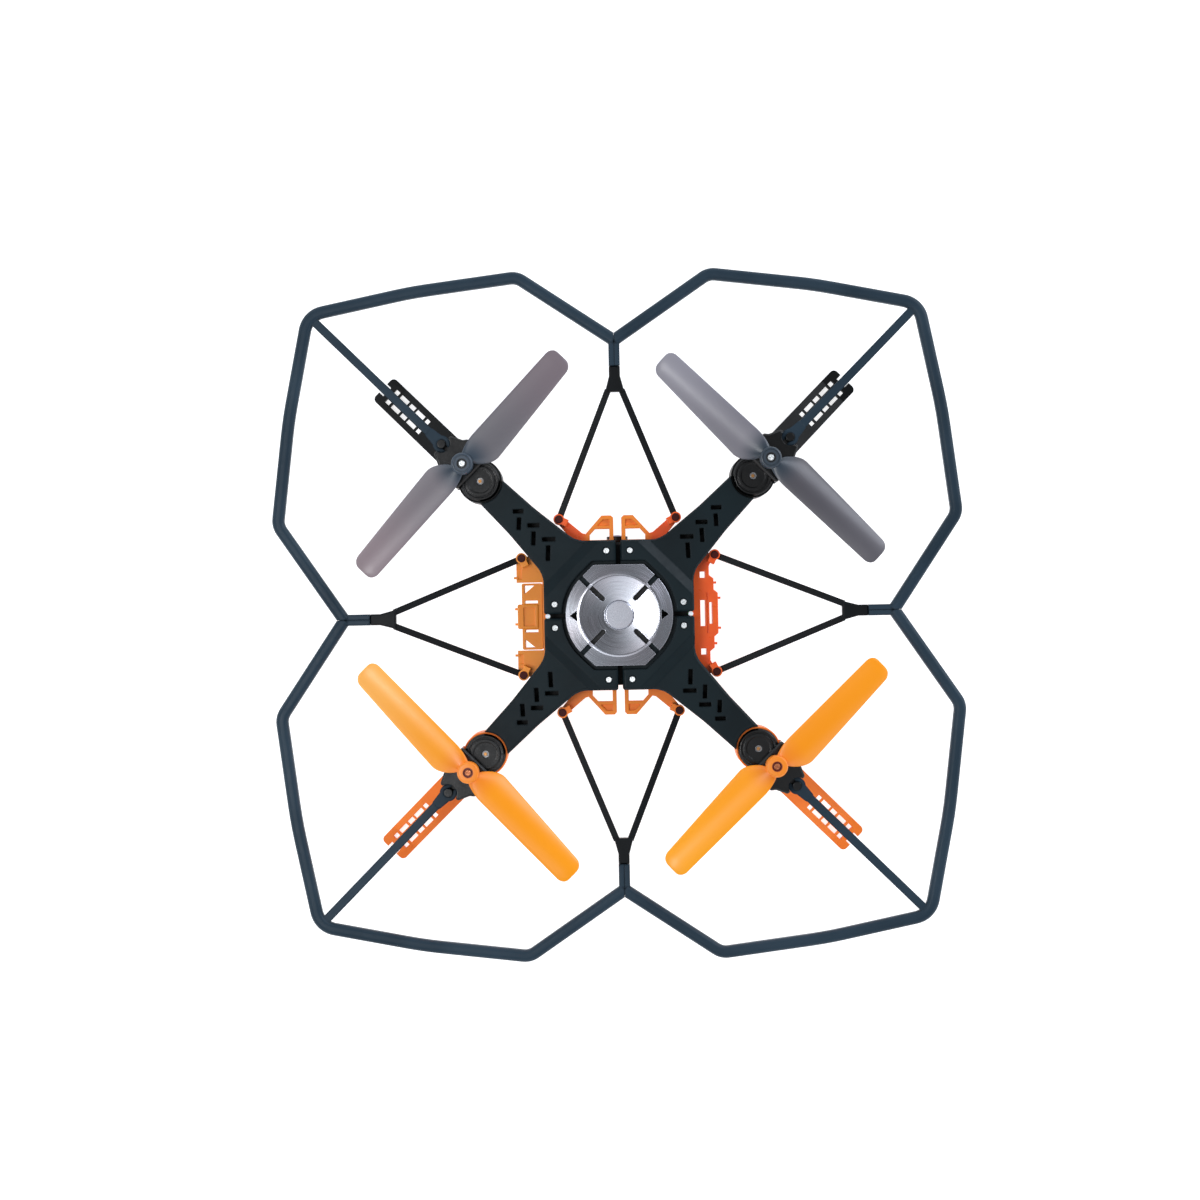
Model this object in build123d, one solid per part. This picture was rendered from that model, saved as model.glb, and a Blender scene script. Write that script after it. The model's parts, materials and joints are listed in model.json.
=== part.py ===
from build123d import *
import math
import os

# Quadcopter with four geared rotors. Millimetres, +Z up, +Y is the front.
# The origin is on the floor under the middle of the drone.
# Each arm is drawn along +X (u outward, v sideways) and then turned or mirrored into its quadrant.

# Sizes that must keep step with another are worked out from it.

# ---- driving sizes: rotors and gears
prop_axis_u = 95.8
prop_tip_radius = 64.5
gear_module = 0.3
pinion_teeth = 12
spur_teeth = 56
gear_width = 3.2
pressure_angle = 25.0
tooth_addendum = 0.8 * gear_module
tooth_dedendum = 1.2 * gear_module
tooth_thinning = 0.15 * gear_module
motor_radius = 6.0
motor_cap_radius = motor_radius + 2.9
motor_boss_radius = 1.1
sleeve_radius = motor_radius + 3.7
motor_shaft_radius = 0.75
prop_shaft_radius = 1.0
bearing_radius = 2.5
bearing_width = 2.5
prop_screw_radius = 1.5
hub_radius = 4.8
blade_root_reach = 14.0
blade_straight_edge = 5.5
blade_root_bulge = 10.2
blade_tip_bulge = 6.6
blade_thickness = 1.3
blade_height = 3.4
blade_root_pitch = 17.0
blade_tip_pitch = 8.0
blade_tip_round = 4.0

# ---- driving sizes: centre cap
cap_radius = 23.7
cap_half_width = cap_radius - 1.4
cap_flat_half = cap_radius - 12.7
cap_facet_turn = 46.0
cap_gap = 1.8
moat_depth = 1.6
cap_height = 3.4
cap_wall = 2.0
ledge_radius = cap_radius - 4.7
bowl_radius = cap_radius - 5.9
bowl_depth = 1.9
band_drop = 3.0
button_radius = 6.2
cap_slot_start = 10.4
cap_slot_width = 2.3
arrow_reach = cap_radius - 1.7
arrow_half = 2.4

# ---- driving sizes: arms and shells
shell_edge = cap_radius + 9.5
shell_corner_radius = 12.0
arm_neck_half = 10.4
arm_mid_u = 60.0
arm_mid_half = 8.0
arm_end_half = 7.2
shell_wall = 1.6
rim_chamfer = 0.9
seam_half_gap = 1.0
bevel_start = shell_edge - 4.2
bevel_length = 4.2
vent_width = 1.9
vent_start = shell_edge + 6.2
vent_pitch = 9.4
vent_reach = 4.6
shell_screw_reach = shell_edge - 4.7
shell_screw_side = 5.2
screw_head_radius = 1.4
screw_radius = 0.8
light_radius = 1.1
light_inset = 1.6

# ---- driving sizes: hull, battery and camera
hull_half_x = shell_edge + 0.8
hull_half_y = shell_edge - 2.2
hull_wall = 1.6
hull_corner_radius = 7.0
bulge_reach = hull_half_x + 10.3
bulge_half = hull_half_y - 9.0
loop_reach = hull_half_y + 13.5
cheek_reach = hull_half_x + 11.5
lug_far = shell_edge + 9.8
lug_near = lug_far - arm_neck_half - 6.6
lug_radius = 2.4
pin_radius = 1.3
pin_head_radius = 1.8
eyelet_radius = 2.3
battery_half = 13.0
battery_length = 52.0
battery_height = 10.4
battery_depth_in = 50.0
battery_wall = 1.2
head_half = battery_half + 1.8
switch_x = 12.0
switch_y = -24.0
camera_y = 26.0
camera_length = 15.0
camera_width = 15.0
camera_height = 11.0
bracket_wall = 1.8
bracket_gap = 0.3
trunnion_radius = 1.6

# ---- driving sizes: guard and legs
guard_reach = prop_axis_u * math.sqrt(0.5) + prop_tip_radius + 18.46
guard_shoulder = 42.6
guard_corner = guard_reach - 15.1
guard_notch = guard_reach - 28.7
tube_width = 5.4
tube_height = 6.0
side_bow = 1.8
spoke_width = 3.8
post_radius = 1.9
ring_wall = 1.9
fork_strut = 2.8
fork_heel_half = 4.3
fork_tip_half = 2.45
strap_half = 1.0
strap_thickness = 0.6
leg_width = 14.0
leg_reach_u = prop_axis_u + 54.5
leg_thickness = 2.0
rail_wall = 1.5
foot_length = 8.0
foot_notch_half = 2.6
foot_notch_depth = 2.6
slot_width = 1.9
slot_row = 3.0
tower_radius = 4.4
crossbar_half = 9.6

# ---- heights
z_foot_top = 3.2
z_shell = 37.0
z_hull = z_shell - 15.0
z_sleeve = z_shell - 12.0
z_deck_top = z_shell + 1.6
z_arm_top = z_shell + 10.6
z_centre_top = z_shell + 13.0
z_recess = z_centre_top - 1.4
z_ring_top = z_shell + 8.0
z_cap_top = z_shell + 9.4
z_crossbar = z_shell + 6.0
z_cover = z_shell + 10.0
z_cover_top = z_shell + 14.0
z_hub = z_shell + 15.6
z_hub_top = z_hub + 7.0
z_guard = z_shell + 7.0
z_clip_low = z_guard - 2.6
z_clip_high = z_guard + 2.4
z_post_top = z_guard + 3.4
z_fork_lug = z_shell + 1.5
z_camera = z_hull - 10.6

# ---- clearances
fit_gap = 0.15
running_gap = 0.05
moving_gap = 0.4

# ---- worked out from the above
centre_distance = gear_module * (pinion_teeth + spur_teeth) / 2
motor_u = prop_axis_u - centre_distance
clip_u = prop_axis_u + 13.5
z_ceiling = z_arm_top - shell_wall
gear_low = z_sleeve - 4.2
fork_seam = guard_notch - 11.5
fork_tip = guard_notch - 16.0
fork_heel = guard_notch - 23.0
cos45 = math.sqrt(0.5)
bevel_end = bevel_start + bevel_length
light_reach = shell_edge - light_inset
crossbar_end = prop_axis_u + 6.2
spur_root = gear_module * spur_teeth / 2 - tooth_dedendum
spur_outer = gear_module * spur_teeth / 2 + tooth_addendum
ring_radius = post_radius + ring_wall
z_battery = z_hull + 2.0
z_battery_top = z_battery + battery_height
battery_in = -hull_half_x + battery_depth_in
battery_end = -hull_half_x - 1.2
z_board = z_deck_top + 2.0
cheek_half = camera_width / 2 + bracket_gap
deck_half = shell_edge - shell_wall - 2 * fit_gap
deck_corner = (shell_edge + 0.6) / cos45 - deck_half
board_post = 13.5
z_lug_low = z_shell - 3.0
z_lug_top = z_fork_lug + 3.4

quadrants = ["front_right", "front_left", "rear_left", "rear_right"]
sides = {"right": 0, "front": 90, "left": 180, "rear": 270}
# small turns of the propellers on their shafts, degrees
prop_turn = {"front_right": 1.4, "front_left": 1.6, "rear_left": -1.1, "rear_right": -1.5}

nodes = {}


# ---- helpers

def prism(points, low, high, radius=0.0):
    # closed outline, with its corners rounded if asked, raised from low to high
    if radius:
        line = FilletPolyline(*points, radius=radius, close=True)
    else:
        line = Polyline(*points, close=True)
    return Pos(0, 0, low) * extrude(make_face(line), high - low)


def side_prism(points, half_width):
    # outline in the (u, z) plane, spread to both sides of v = 0
    face = make_face(Polyline(*[(u, 0, z) for u, z in points], close=True))
    return extrude(face, half_width, dir=(0, 1, 0), both=True)


def block(x0, x1, y0, y1, z0, z1):
    return Pos((x0 + x1) / 2, (y0 + y1) / 2, (z0 + z1) / 2) * Box(x1 - x0, y1 - y0, z1 - z0)


def rod(x, y, radius, low, high):
    return Pos(x, y, (low + high) / 2) * Cylinder(radius, high - low)


def bar(start, end, width, low, high):
    # straight flat strip between two plan points
    dx = end[0] - start[0]
    dy = end[1] - start[1]
    turn = math.degrees(math.atan2(dy, dx))
    middle = ((start[0] + end[0]) / 2, (start[1] + end[1]) / 2, (low + high) / 2)
    return Pos(*middle) * Rot(0, 0, turn) * Box(math.hypot(dx, dy), width, high - low)


def strut(start, end, width, height):
    # square bar between two points in space, its sides upright
    run = Vector(*end) - Vector(*start)
    turn = math.degrees(math.atan2(run.Y, run.X))
    rise = math.degrees(math.asin(run.Z / run.length))
    middle = (Vector(*start) + Vector(*end)) / 2
    place = Pos(middle.X, middle.Y, middle.Z) * Rot(0, 0, turn) * Rot(0, -rise, 0)
    return place * Box(run.length, width, height)


def to_quadrant(shape, quadrant):
    shape = shape.rotate(Axis.Z, 45)
    if quadrant == "front_left":
        return mirror(shape, about=Plane.YZ)
    if quadrant == "rear_right":
        return mirror(shape, about=Plane.XZ)
    if quadrant == "rear_left":
        return shape.rotate(Axis.Z, 180)
    return shape


def quadrant_point(u, v, quadrant):
    x = (u - v) * cos45
    y = (u + v) * cos45
    if "left" in quadrant:
        x = -x
    if "rear" in quadrant:
        y = -y
    return x, y


def top_edges(shape, level):
    # edges that lie in one level plane
    return shape.edges().filter_by_position(Axis.Z, level - 0.01, level + 0.01)


# ---- arm shells

def half_shell_outline():
    # from the seam to the arm's end on the v > 0 side
    seam = seam_half_gap / cos45
    reach = shell_edge / cos45
    slope = (arm_neck_half - arm_mid_half) / (arm_mid_u - reach + arm_neck_half)
    neck_u = (reach - arm_mid_half - slope * arm_mid_u) / (1 - slope)
    neck_v = reach - neck_u
    end_u = motor_u - sleeve_radius + 3
    return [((reach + seam) / 2, (reach - seam) / 2), (neck_u, neck_v),
            (arm_mid_u, arm_mid_half), (end_u, arm_end_half)]


def shell_outline(inset, radius):
    # whole outline of one quarter, drawn smaller by inset
    half = half_shell_outline()
    seam = seam_half_gap / cos45
    points = [(seam, 0)] + [(u, -v) for u, v in half] + [(u, v) for u, v in reversed(half)]
    face = make_face(Polyline(*points, close=True))
    for u, rounding in ((half[0][0], 1.0), (half[1][0], radius), (half[2][0], 60.0)):
        corners = [corner for corner in face.vertices() if abs(corner.X - u) < 0.01]
        face = fillet(corners, rounding)
    if inset:
        face = offset(face, -inset)
    return face


def cap_outline(grow, low, high):
    # round cap with a flat at the front and rear and a short facet beside each, drawn larger by grow
    turn = math.radians(cap_facet_turn)
    x, y = cap_radius * math.cos(turn), cap_radius * math.sin(turn)
    flat, half = cap_flat_half, cap_half_width
    points = [(x, y), (flat, half), (-flat, half), (-x, y), (-x, -y), (-flat, -half), (flat, -half), (x, -y)]
    face = Circle(cap_radius) & Rectangle(4 * cap_radius, 2 * cap_half_width)
    face += make_face(Polyline(*points, close=True))
    if grow:
        face = offset(face, grow)
    return Pos(0, 0, low) * extrude(face, high - low)


def centre_wedge(drop):
    # side profile of the raised centre, with the bevel that leads down to the arm
    return side_prism([(-10, z_shell - 2), (-10, z_centre_top - drop), (bevel_start, z_centre_top - drop),
                       (bevel_end, z_arm_top - drop), (bevel_end, z_shell - 2)], 60)


def vents():
    # slots set at right angles to each other in three pairs, shorter where the arm is narrower
    slots = []
    for step in range(3):
        near = vent_start + vent_pitch * step
        far = near + vent_pitch * 0.45
        reach = vent_reach - 0.45 * step
        slots.append(((near, -reach), (near + reach, 0.4)))
        slots.append(((far, reach), (far + reach - 0.4, 0.4)))
    return slots


def arm_shell():
    outline = shell_outline(0, shell_corner_radius)
    arm = Pos(0, 0, z_shell) * extrude(outline, z_arm_top - z_shell)
    arm = chamfer(top_edges(arm, z_arm_top), rim_chamfer)
    centre = Pos(0, 0, z_shell) * extrude(outline, z_centre_top - z_shell)
    centre = chamfer(top_edges(centre, z_centre_top), rim_chamfer)
    outer = arm + (centre & centre_wedge(0))
    inset = shell_outline(shell_wall, 3.0)
    inner = Pos(0, 0, z_shell - 1) * extrude(inset, z_ceiling - z_shell + 1)
    shell = outer - inner
    shell -= rod(0, 0, ledge_radius, 0, 80)
    # the cap's recess is cut in the drone's frame
    shell -= cap_outline(cap_gap, z_recess, 80).rotate(Axis.Z, -45)
    moat = cap_outline(cap_gap, z_recess - moat_depth, 80) - cap_outline(-fit_gap, 0, 90)
    shell -= moat.rotate(Axis.Z, -45)
    shell -= rod(motor_u, 0, sleeve_radius + 0.3, 0, 80)
    # room for the deck under the seam walls
    reach = shell_edge - shell_wall - fit_gap
    shell -= block(-reach, reach, -reach, reach, z_shell - 1, z_deck_top + fit_gap).rotate(Axis.Z, -45)
    for start, end in vents():
        shell -= bar(start, end, vent_width, z_shell + 3, 80)
    for v_sign in (1, -1):
        a = (shell_screw_reach + shell_screw_side) * cos45
        b = (shell_screw_reach - shell_screw_side) * cos45 * v_sign
        shell -= rod(a, b, screw_head_radius + fit_gap, z_centre_top - 1.0, 80)
        shell -= rod(a, b, screw_radius + 0.1, 0, 80)
    # half of the light's seat where the shells meet at the seam's outer end
    for v_sign in (1, -1):
        u = light_reach * cos45
        shell -= rod(u, u * v_sign, light_radius + 0.1, z_centre_top - 3, 80)
    return shell


# ---- legs with the arm's floor, the motor sleeve and the lower bearing seat

def leg():
    end_u = motor_u - sleeve_radius + 1.5
    start_u = shell_edge + 1.5
    floor_half = arm_neck_half - shell_wall - 0.9
    mid_half = arm_mid_half - shell_wall - fit_gap
    tip_half = arm_end_half - shell_wall - fit_gap
    outline = [(start_u, -floor_half), (arm_mid_u, -mid_half), (end_u, -tip_half),
               (end_u, tip_half), (arm_mid_u, mid_half), (start_u, floor_half)]
    body = prism(outline, z_shell, z_deck_top)
    body += rod(motor_u, 0, sleeve_radius, z_sleeve, z_ring_top)
    body += rod(prop_axis_u, 0, tower_radius, z_sleeve, z_crossbar)
    body += prism([(motor_u + 4, -crossbar_half), (crossbar_end, -crossbar_half),
                   (crossbar_end, crossbar_half), (motor_u + 4, crossbar_half)],
                  z_crossbar - 4, z_crossbar, radius=1.2)
    body += landing_leg()
    body -= rod(motor_u, 0, motor_radius + running_gap, z_sleeve + 1.2, 80)
    body -= rod(motor_u, 0, 2.6, 0, 80)
    body -= rod(motor_u, 0, motor_cap_radius + 0.1, z_ring_top - 4, 80)
    body -= rod(prop_axis_u, 0, prop_shaft_radius + 0.3, 0, 80)
    body -= rod(prop_axis_u, 0, bearing_radius, 0, z_sleeve + bearing_width)
    # way for the motor's wires, through the sleeve's inner wall
    body -= block(motor_u - sleeve_radius - 1, motor_u - motor_radius + 1, -2.4, 2.4,
                  z_deck_top, z_ring_top - 4)
    # nothing of the leg reaches into the gear's space
    body -= rod(prop_axis_u, 0, spur_outer + 1.2, 0, z_sleeve - 0.001)
    return body


def landing_leg():
    start = crossbar_end - 4
    top = z_crossbar - 6.5
    knee = leg_reach_u - foot_length
    rise = (top - z_foot_top) / (knee - start)
    drop = leg_thickness / math.cos(math.atan(rise))
    plate = side_prism([(start, top), (knee, z_foot_top), (leg_reach_u, z_foot_top), (leg_reach_u, 0),
                        (knee, 0), (knee - 1.5, z_foot_top - 0.4), (start, top - drop)], leg_width / 2)
    rails = side_prism([(start, top - 0.5), (knee, z_foot_top - 0.5), (knee, 0), (knee - 6, 0.8),
                        (start, top - drop - 4.5)], leg_width / 2)
    rails -= side_prism([(start - 1, top + 5), (knee + 5, top + 5), (knee + 5, -5), (start - 1, -5)],
                        leg_width / 2 - rail_wall)
    body = plate + rails
    # plan corners of the foot are rounded
    corner = prism([(start, -leg_width / 2), (leg_reach_u, -leg_width / 2),
                    (leg_reach_u, leg_width / 2), (start, leg_width / 2)], -1, 60, radius=2.2)
    body = body & corner
    body -= block(leg_reach_u - foot_notch_depth, leg_reach_u + 1, -foot_notch_half, foot_notch_half, -1, 60)
    # two rows of slots of mixed length, cut straight down
    for far_off, near_off in ((27.9, 25.7), (24.5, 19.3), (18.3, 14.9), (13.7, 8.5), (7.3, 4.9)):
        for row in (slot_row, -slot_row):
            body -= block(leg_reach_u - far_off, leg_reach_u - near_off,
                          row - slot_width / 2, row + slot_width / 2, -1, 60)
    return body


# ---- bridge over the motor that holds the upper bearing and the guard's post

def shaft_cover():
    outer = prism([(prop_axis_u - 5.8, -crossbar_half), (crossbar_end, -crossbar_half),
                   (crossbar_end + 1.4, 1.8 - crossbar_half), (clip_u - 0.8, -5.4), (clip_u - 0.8, 5.4),
                   (crossbar_end + 1.4, crossbar_half - 1.8), (crossbar_end, crossbar_half),
                   (prop_axis_u - 5.8, crossbar_half)], z_crossbar, z_cover_top, radius=1.2)
    outer = chamfer(top_edges(outer, z_cover_top), 0.8)
    body = outer - block(prop_axis_u - 9, crossbar_end - 1.6, 2.0 - crossbar_half, crossbar_half - 2.0,
                         z_crossbar - 1, z_cover)
    body -= rod(motor_u, 0, sleeve_radius + 0.3, z_crossbar - 1, z_cover)
    body += rod(prop_axis_u, 0, bearing_radius + 1.1, z_cover - 0.6, z_cover_top)
    body -= rod(prop_axis_u, 0, prop_shaft_radius + 0.3, 0, 80)
    body -= rod(prop_axis_u, 0, bearing_radius, 0, z_cover + bearing_width)
    # raised ring round the shaft
    body += rod(prop_axis_u, 0, 3.4, z_cover_top, z_cover_top + 0.6) - rod(prop_axis_u, 0, 2.2, 0, 80)
    # cradle for the clip's ring, with its tab and post
    body -= rod(clip_u, 0, ring_radius + 0.3, z_clip_low, 80)
    body += prism([(crossbar_end, -4.2), (clip_u + 1.2, -3.4), (clip_u + 2.4, 0), (clip_u + 1.2, 3.4),
                   (crossbar_end, 4.2)], z_crossbar - 4, z_clip_low, radius=0.8)
    body += block(crossbar_end, crossbar_end + 2.4, -4.0, 4.0, z_crossbar - 3.9, z_crossbar + 1)
    body += block(crossbar_end - 1, crossbar_end + 2.4, -4.0, 4.0, z_crossbar, z_cover + 0.5)
    body += rod(clip_u, 0, post_radius, z_crossbar - 4, z_post_top)
    return body


# ---- motors, gears, shafts

def motor():
    body = rod(motor_u, 0, motor_radius, z_sleeve + 1.2, z_ring_top - 0.6)
    body = chamfer(top_edges(body, z_ring_top - 0.6), 0.5)
    body += rod(motor_u, 0, motor_boss_radius, z_ring_top - 0.6, z_ring_top + 0.3)
    body -= rod(motor_u, 0, motor_shaft_radius + running_gap, 0, 80)
    return body


def motor_cap():
    body = rod(motor_u, 0, motor_cap_radius, z_ring_top - 3.9, z_cap_top)
    body = chamfer(top_edges(body, z_cap_top), 0.7)
    body -= rod(motor_u, 0, motor_radius + 0.1, 0, z_ring_top - 0.5)
    body -= rod(motor_u, 0, motor_boss_radius + moving_gap, 0, 80)
    # dished top with a groove round it
    body -= rod(motor_u, 0, motor_cap_radius - 3.6, z_cap_top - 0.5, 80)
    groove = rod(motor_u, 0, motor_cap_radius - 1.5, z_cap_top - 0.5, 80)
    body -= groove - rod(motor_u, 0, motor_cap_radius - 2.2, 0, 80)
    return body


def involute(radius, base):
    # polar angle gained by the involute at a radius
    if radius <= base:
        return 0.0
    slope = math.sqrt((radius / base) ** 2 - 1)
    return slope - math.atan(slope)


def gear(teeth, first_tooth, low, high):
    # spur gear about the Z axis with one tooth centred at first_tooth degrees
    pitch_radius = gear_module * teeth / 2
    base = pitch_radius * math.cos(math.radians(pressure_angle))
    outer = pitch_radius + tooth_addendum
    root = pitch_radius - tooth_dedendum
    half_tooth = math.pi / teeth / 2 - tooth_thinning / pitch_radius
    flank = []
    for step in range(4):
        radius = max(base, root) + (outer - max(base, root)) * step / 3
        angle = half_tooth + involute(pitch_radius, base) - involute(radius, base)
        flank.append((radius, angle))
    points = []
    for tooth in range(teeth):
        middle = math.radians(first_tooth) + 2 * math.pi * tooth / teeth
        points.append((root, middle - flank[0][1] - 0.06 / pitch_radius))
        points += [(r, middle - a) for r, a in flank]
        points += [(r, middle + a) for r, a in reversed(flank)]
        points.append((root, middle + flank[0][1] + 0.06 / pitch_radius))
    outline = [(r * math.cos(a), r * math.sin(a)) for r, a in points]
    return prism(outline, low, high)


def pinion():
    body = Pos(motor_u, 0, 0) * gear(pinion_teeth, 180 / pinion_teeth, gear_low, gear_low + gear_width)
    body += rod(motor_u, 0, motor_shaft_radius, gear_low - 0.4, z_ring_top + 0.7)
    body += rod(motor_u, 0, 1.5, gear_low + gear_width, z_sleeve + 0.6)
    return body


def spur_gear():
    body = gear(spur_teeth, 0, gear_low, gear_low + gear_width)
    body += rod(0, 0, 2.0, gear_low - 0.8, z_sleeve - 0.3)
    # web thinned on both faces and lightened by six holes
    web_outer = spur_root - 1.14
    web_inner = 2.9
    web = Cylinder(web_outer, 0.9) - Cylinder(web_inner, 0.9)
    body -= Pos(0, 0, gear_low + 0.45) * web
    body -= Pos(0, 0, gear_low + gear_width - 0.45) * web
    hole = rod((web_outer + web_inner) / 2, 0, 1.25, gear_low, gear_low + gear_width)
    for turn in range(6):
        body -= hole.rotate(Axis.Z, 60 * turn + 30)
    body -= rod(0, 0, prop_shaft_radius, 0, 80)
    return Pos(prop_axis_u, 0, 0) * body


def prop_shaft():
    body = rod(prop_axis_u, 0, prop_shaft_radius, gear_low - 0.8, z_hub_top - 1.2)
    body -= rod(prop_axis_u, 0, 0.55, z_hub_top - 6, 80)
    return body


def shaft_bearings():
    low = rod(prop_axis_u, 0, bearing_radius, z_sleeve, z_sleeve + bearing_width)
    high = rod(prop_axis_u, 0, bearing_radius, z_cover, z_cover + bearing_width)
    bore = rod(prop_axis_u, 0, prop_shaft_radius + 0.03, 0, 80)
    return [low - bore, high - bore]


# ---- propellers

def blade_section(reach):
    # thin lens across the blade at a distance from the shaft, tilted to its pitch
    span = max((reach - blade_root_reach) / (prop_tip_radius - blade_root_reach), 0.0)
    straight = blade_straight_edge
    bulge = blade_root_bulge + (blade_tip_bulge - blade_root_bulge) * span
    thick = blade_thickness * (1.15 - 0.45 * span)
    if reach < blade_root_reach:
        share = ((reach - 3.0) / (blade_root_reach - 3.0)) ** 0.6
        bulge = 3.6 + (blade_root_bulge - 3.6) * share
        straight = 3.6 + (blade_straight_edge - 3.6) * share
        thick = 2.6 + (blade_thickness * 1.15 - 2.6) * share
    if reach > prop_tip_radius - blade_tip_round:
        share = (reach - prop_tip_radius + blade_tip_round) / blade_tip_round
        pull = 1 - math.sqrt(max(1 - share * share, 0.0))
        straight -= 3.2 * pull
        bulge -= 3.6 * pull
        thick *= 1 - 0.45 * share
    pitch = math.radians(blade_root_pitch + (blade_tip_pitch - blade_root_pitch) * span)
    chord = straight + bulge
    camber = 0.045 * chord
    upper = []
    lower = []
    for share in (0.0, 0.12, 0.35, 0.65, 0.88, 1.0):
        w = straight - chord * share
        arch = camber * 4 * share * (1 - share)
        body = thick * (0.42 + 2.3 * share * (1 - share))
        upper.append((w, arch + body / 2))
        lower.append((w, arch - body / 2))
    points = []
    for w, h in upper + list(reversed(lower)):
        points.append((w * math.cos(pitch) - h * math.sin(pitch), reach,
                       w * math.sin(pitch) + h * math.cos(pitch)))
    return make_face(Polyline(*points, close=True))


def propeller():
    # drawn about the Z axis, blades along +Y and -Y, then set on the shaft
    reaches = [3.0, 5.0, 8.0, 11.0, blade_root_reach, 22.0, 34.0, 48.0, prop_tip_radius - blade_tip_round,
               prop_tip_radius - 1.6, prop_tip_radius - 0.5, prop_tip_radius]
    blade = loft([blade_section(reach) for reach in reaches], ruled=True)
    blade = Pos(0, 0, z_hub + blade_height) * blade
    body = rod(0, 0, hub_radius, z_hub, z_hub_top)
    body = chamfer(top_edges(body, z_hub_top), 0.5)
    body = body + blade + blade.rotate(Axis.Z, 180)
    body -= rod(0, 0, prop_shaft_radius, 0, 80)
    body -= rod(0, 0, prop_screw_radius + 0.6, z_hub_top - 1.2, 80)
    # ring groove in the hub's top
    body -= rod(0, 0, 3.9, z_hub_top - 0.3, 80) - rod(0, 0, 3.3, 0, 80)
    return body


def prop_screw():
    low = z_hub_top - 1.2
    body = rod(0, 0, prop_screw_radius, low, low + 1.2)
    body = chamfer(top_edges(body, low + 1.2), 0.35)
    body += rod(0, 0, 0.55, low - 4, low)
    body -= Pos(0, 0, low + 1.0) * Box(2.0, 0.45, 0.8)
    body -= Pos(0, 0, low + 1.0) * Box(0.45, 2.0, 0.8)
    return body


# ---- guard

def guard_path():
    # centreline of one lobe in the drone's frame, from the front notch to the right notch
    shoulder = (guard_shoulder, guard_reach)
    corner = (guard_corner, guard_corner)
    middle = ((shoulder[0] + corner[0]) / 2, (shoulder[1] + corner[1]) / 2)
    length = math.hypot(corner[0] - shoulder[0], corner[1] - shoulder[1])
    out = ((shoulder[1] - corner[1]) / length, (corner[0] - shoulder[0]) / length)
    bow = (middle[0] + side_bow * out[0], middle[1] + side_bow * out[1])
    return [(0, guard_notch), shoulder, bow, corner, bow[::-1], shoulder[::-1], (guard_notch, 0)]


def guard_hoop():
    radii = [8.0, 200.0, 10.0, 200.0, 8.0]
    path = FilletPolyline(*guard_path(), radius=radii)
    path = Pos(0, 0, z_guard) * path
    start = path @ 0
    run = path % 0
    section_plane = Plane(origin=start, x_dir=run.cross(Vector(0, 0, 1)), z_dir=run)
    section = section_plane * RectangleRounded(tube_width, tube_height, 2.1)
    tube = sweep(section, path=path)
    # half stems that end in tongues for the forks
    for flip in (False, True):
        stem = block(0.05, 2.45, fork_seam + 0.1, guard_notch, z_guard - 2.6, z_guard + 2.4)
        stem += block(0.05, 1.5, fork_tip - 2, fork_seam + 1, z_guard - 1, z_guard + 1)
        if flip:
            stem = mirror(stem, about=Plane.XZ).rotate(Axis.Z, 90)
        tube += stem
    far = guard_corner * 1.5
    tube &= block(0.05, far, 0.05, far, 0, 80)
    tube = tube.rotate(Axis.Z, -45)
    corner_u = guard_corner / cos45
    spoke = bar((clip_u + 2, 0), (corner_u - 3, 0), spoke_width, z_clip_low + 0.6, z_clip_high - 0.2)
    ring = rod(clip_u, 0, ring_radius, z_clip_low + 0.1, z_clip_high)
    collar = prism([(clip_u + 2, -2.9), (clip_u + 8, -2.2), (clip_u + 8, 2.2), (clip_u + 2, 2.9)],
                   z_clip_low + 0.3, z_clip_high, radius=0.5)
    body = tube + spoke + ring + collar
    body -= rod(clip_u, 0, post_radius + 0.1, 0, 80)
    # the clip's mouth
    body -= block(clip_u - 5, clip_u, -1.1, 1.1, z_clip_low, 80)
    return body


def guard_fork():
    # drawn for the right side: u along +X, v along +Y
    low = z_guard - 2.4
    high = z_guard + 2.2
    end = fork_seam - 0.1
    plate = prism([(fork_heel, -fork_heel_half), (fork_heel, fork_heel_half), (fork_tip, fork_tip_half),
                   (end, fork_tip_half), (end, -fork_tip_half), (fork_tip, -fork_tip_half)],
                  low, high, radius=0.6)
    body = chamfer(top_edges(plate, high), 0.5)
    for side in (1, -1):
        eye = (lug_far, lug_near * side, z_fork_lug)
        direction = (fork_heel + 1 - lug_far, side * (3.0 - lug_near))
        length = math.hypot(*direction)
        step = 1.2 / length
        near = (lug_far + direction[0] * step, lug_near * side + direction[1] * step, z_fork_lug)
        far = (fork_heel + 1, 3.0 * side, z_guard - 0.4)
        body += strut(near, far, fork_strut, 2.6)
        body += rod(eye[0], eye[1], eyelet_radius, z_fork_lug - 1.3, z_fork_lug + 1.3)
        body -= rod(eye[0], eye[1], pin_radius + 0.1, 0, 80)
    body -= block(fork_tip - 2.2, fork_seam + 1, -1.6, 1.6, z_guard - 1.1, z_guard + 1.1)
    # strap that runs out under the joint between the two hoops
    strap_top = z_guard - tube_height / 2 - 0.1
    body += block(fork_tip, guard_notch + tube_width / 2, -strap_half, strap_half,
                  strap_top - strap_thickness, strap_top)
    body += block(fork_tip, end, -strap_half, strap_half, strap_top - strap_thickness, z_guard - 2.0)
    return body


# ---- lower hull

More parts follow.
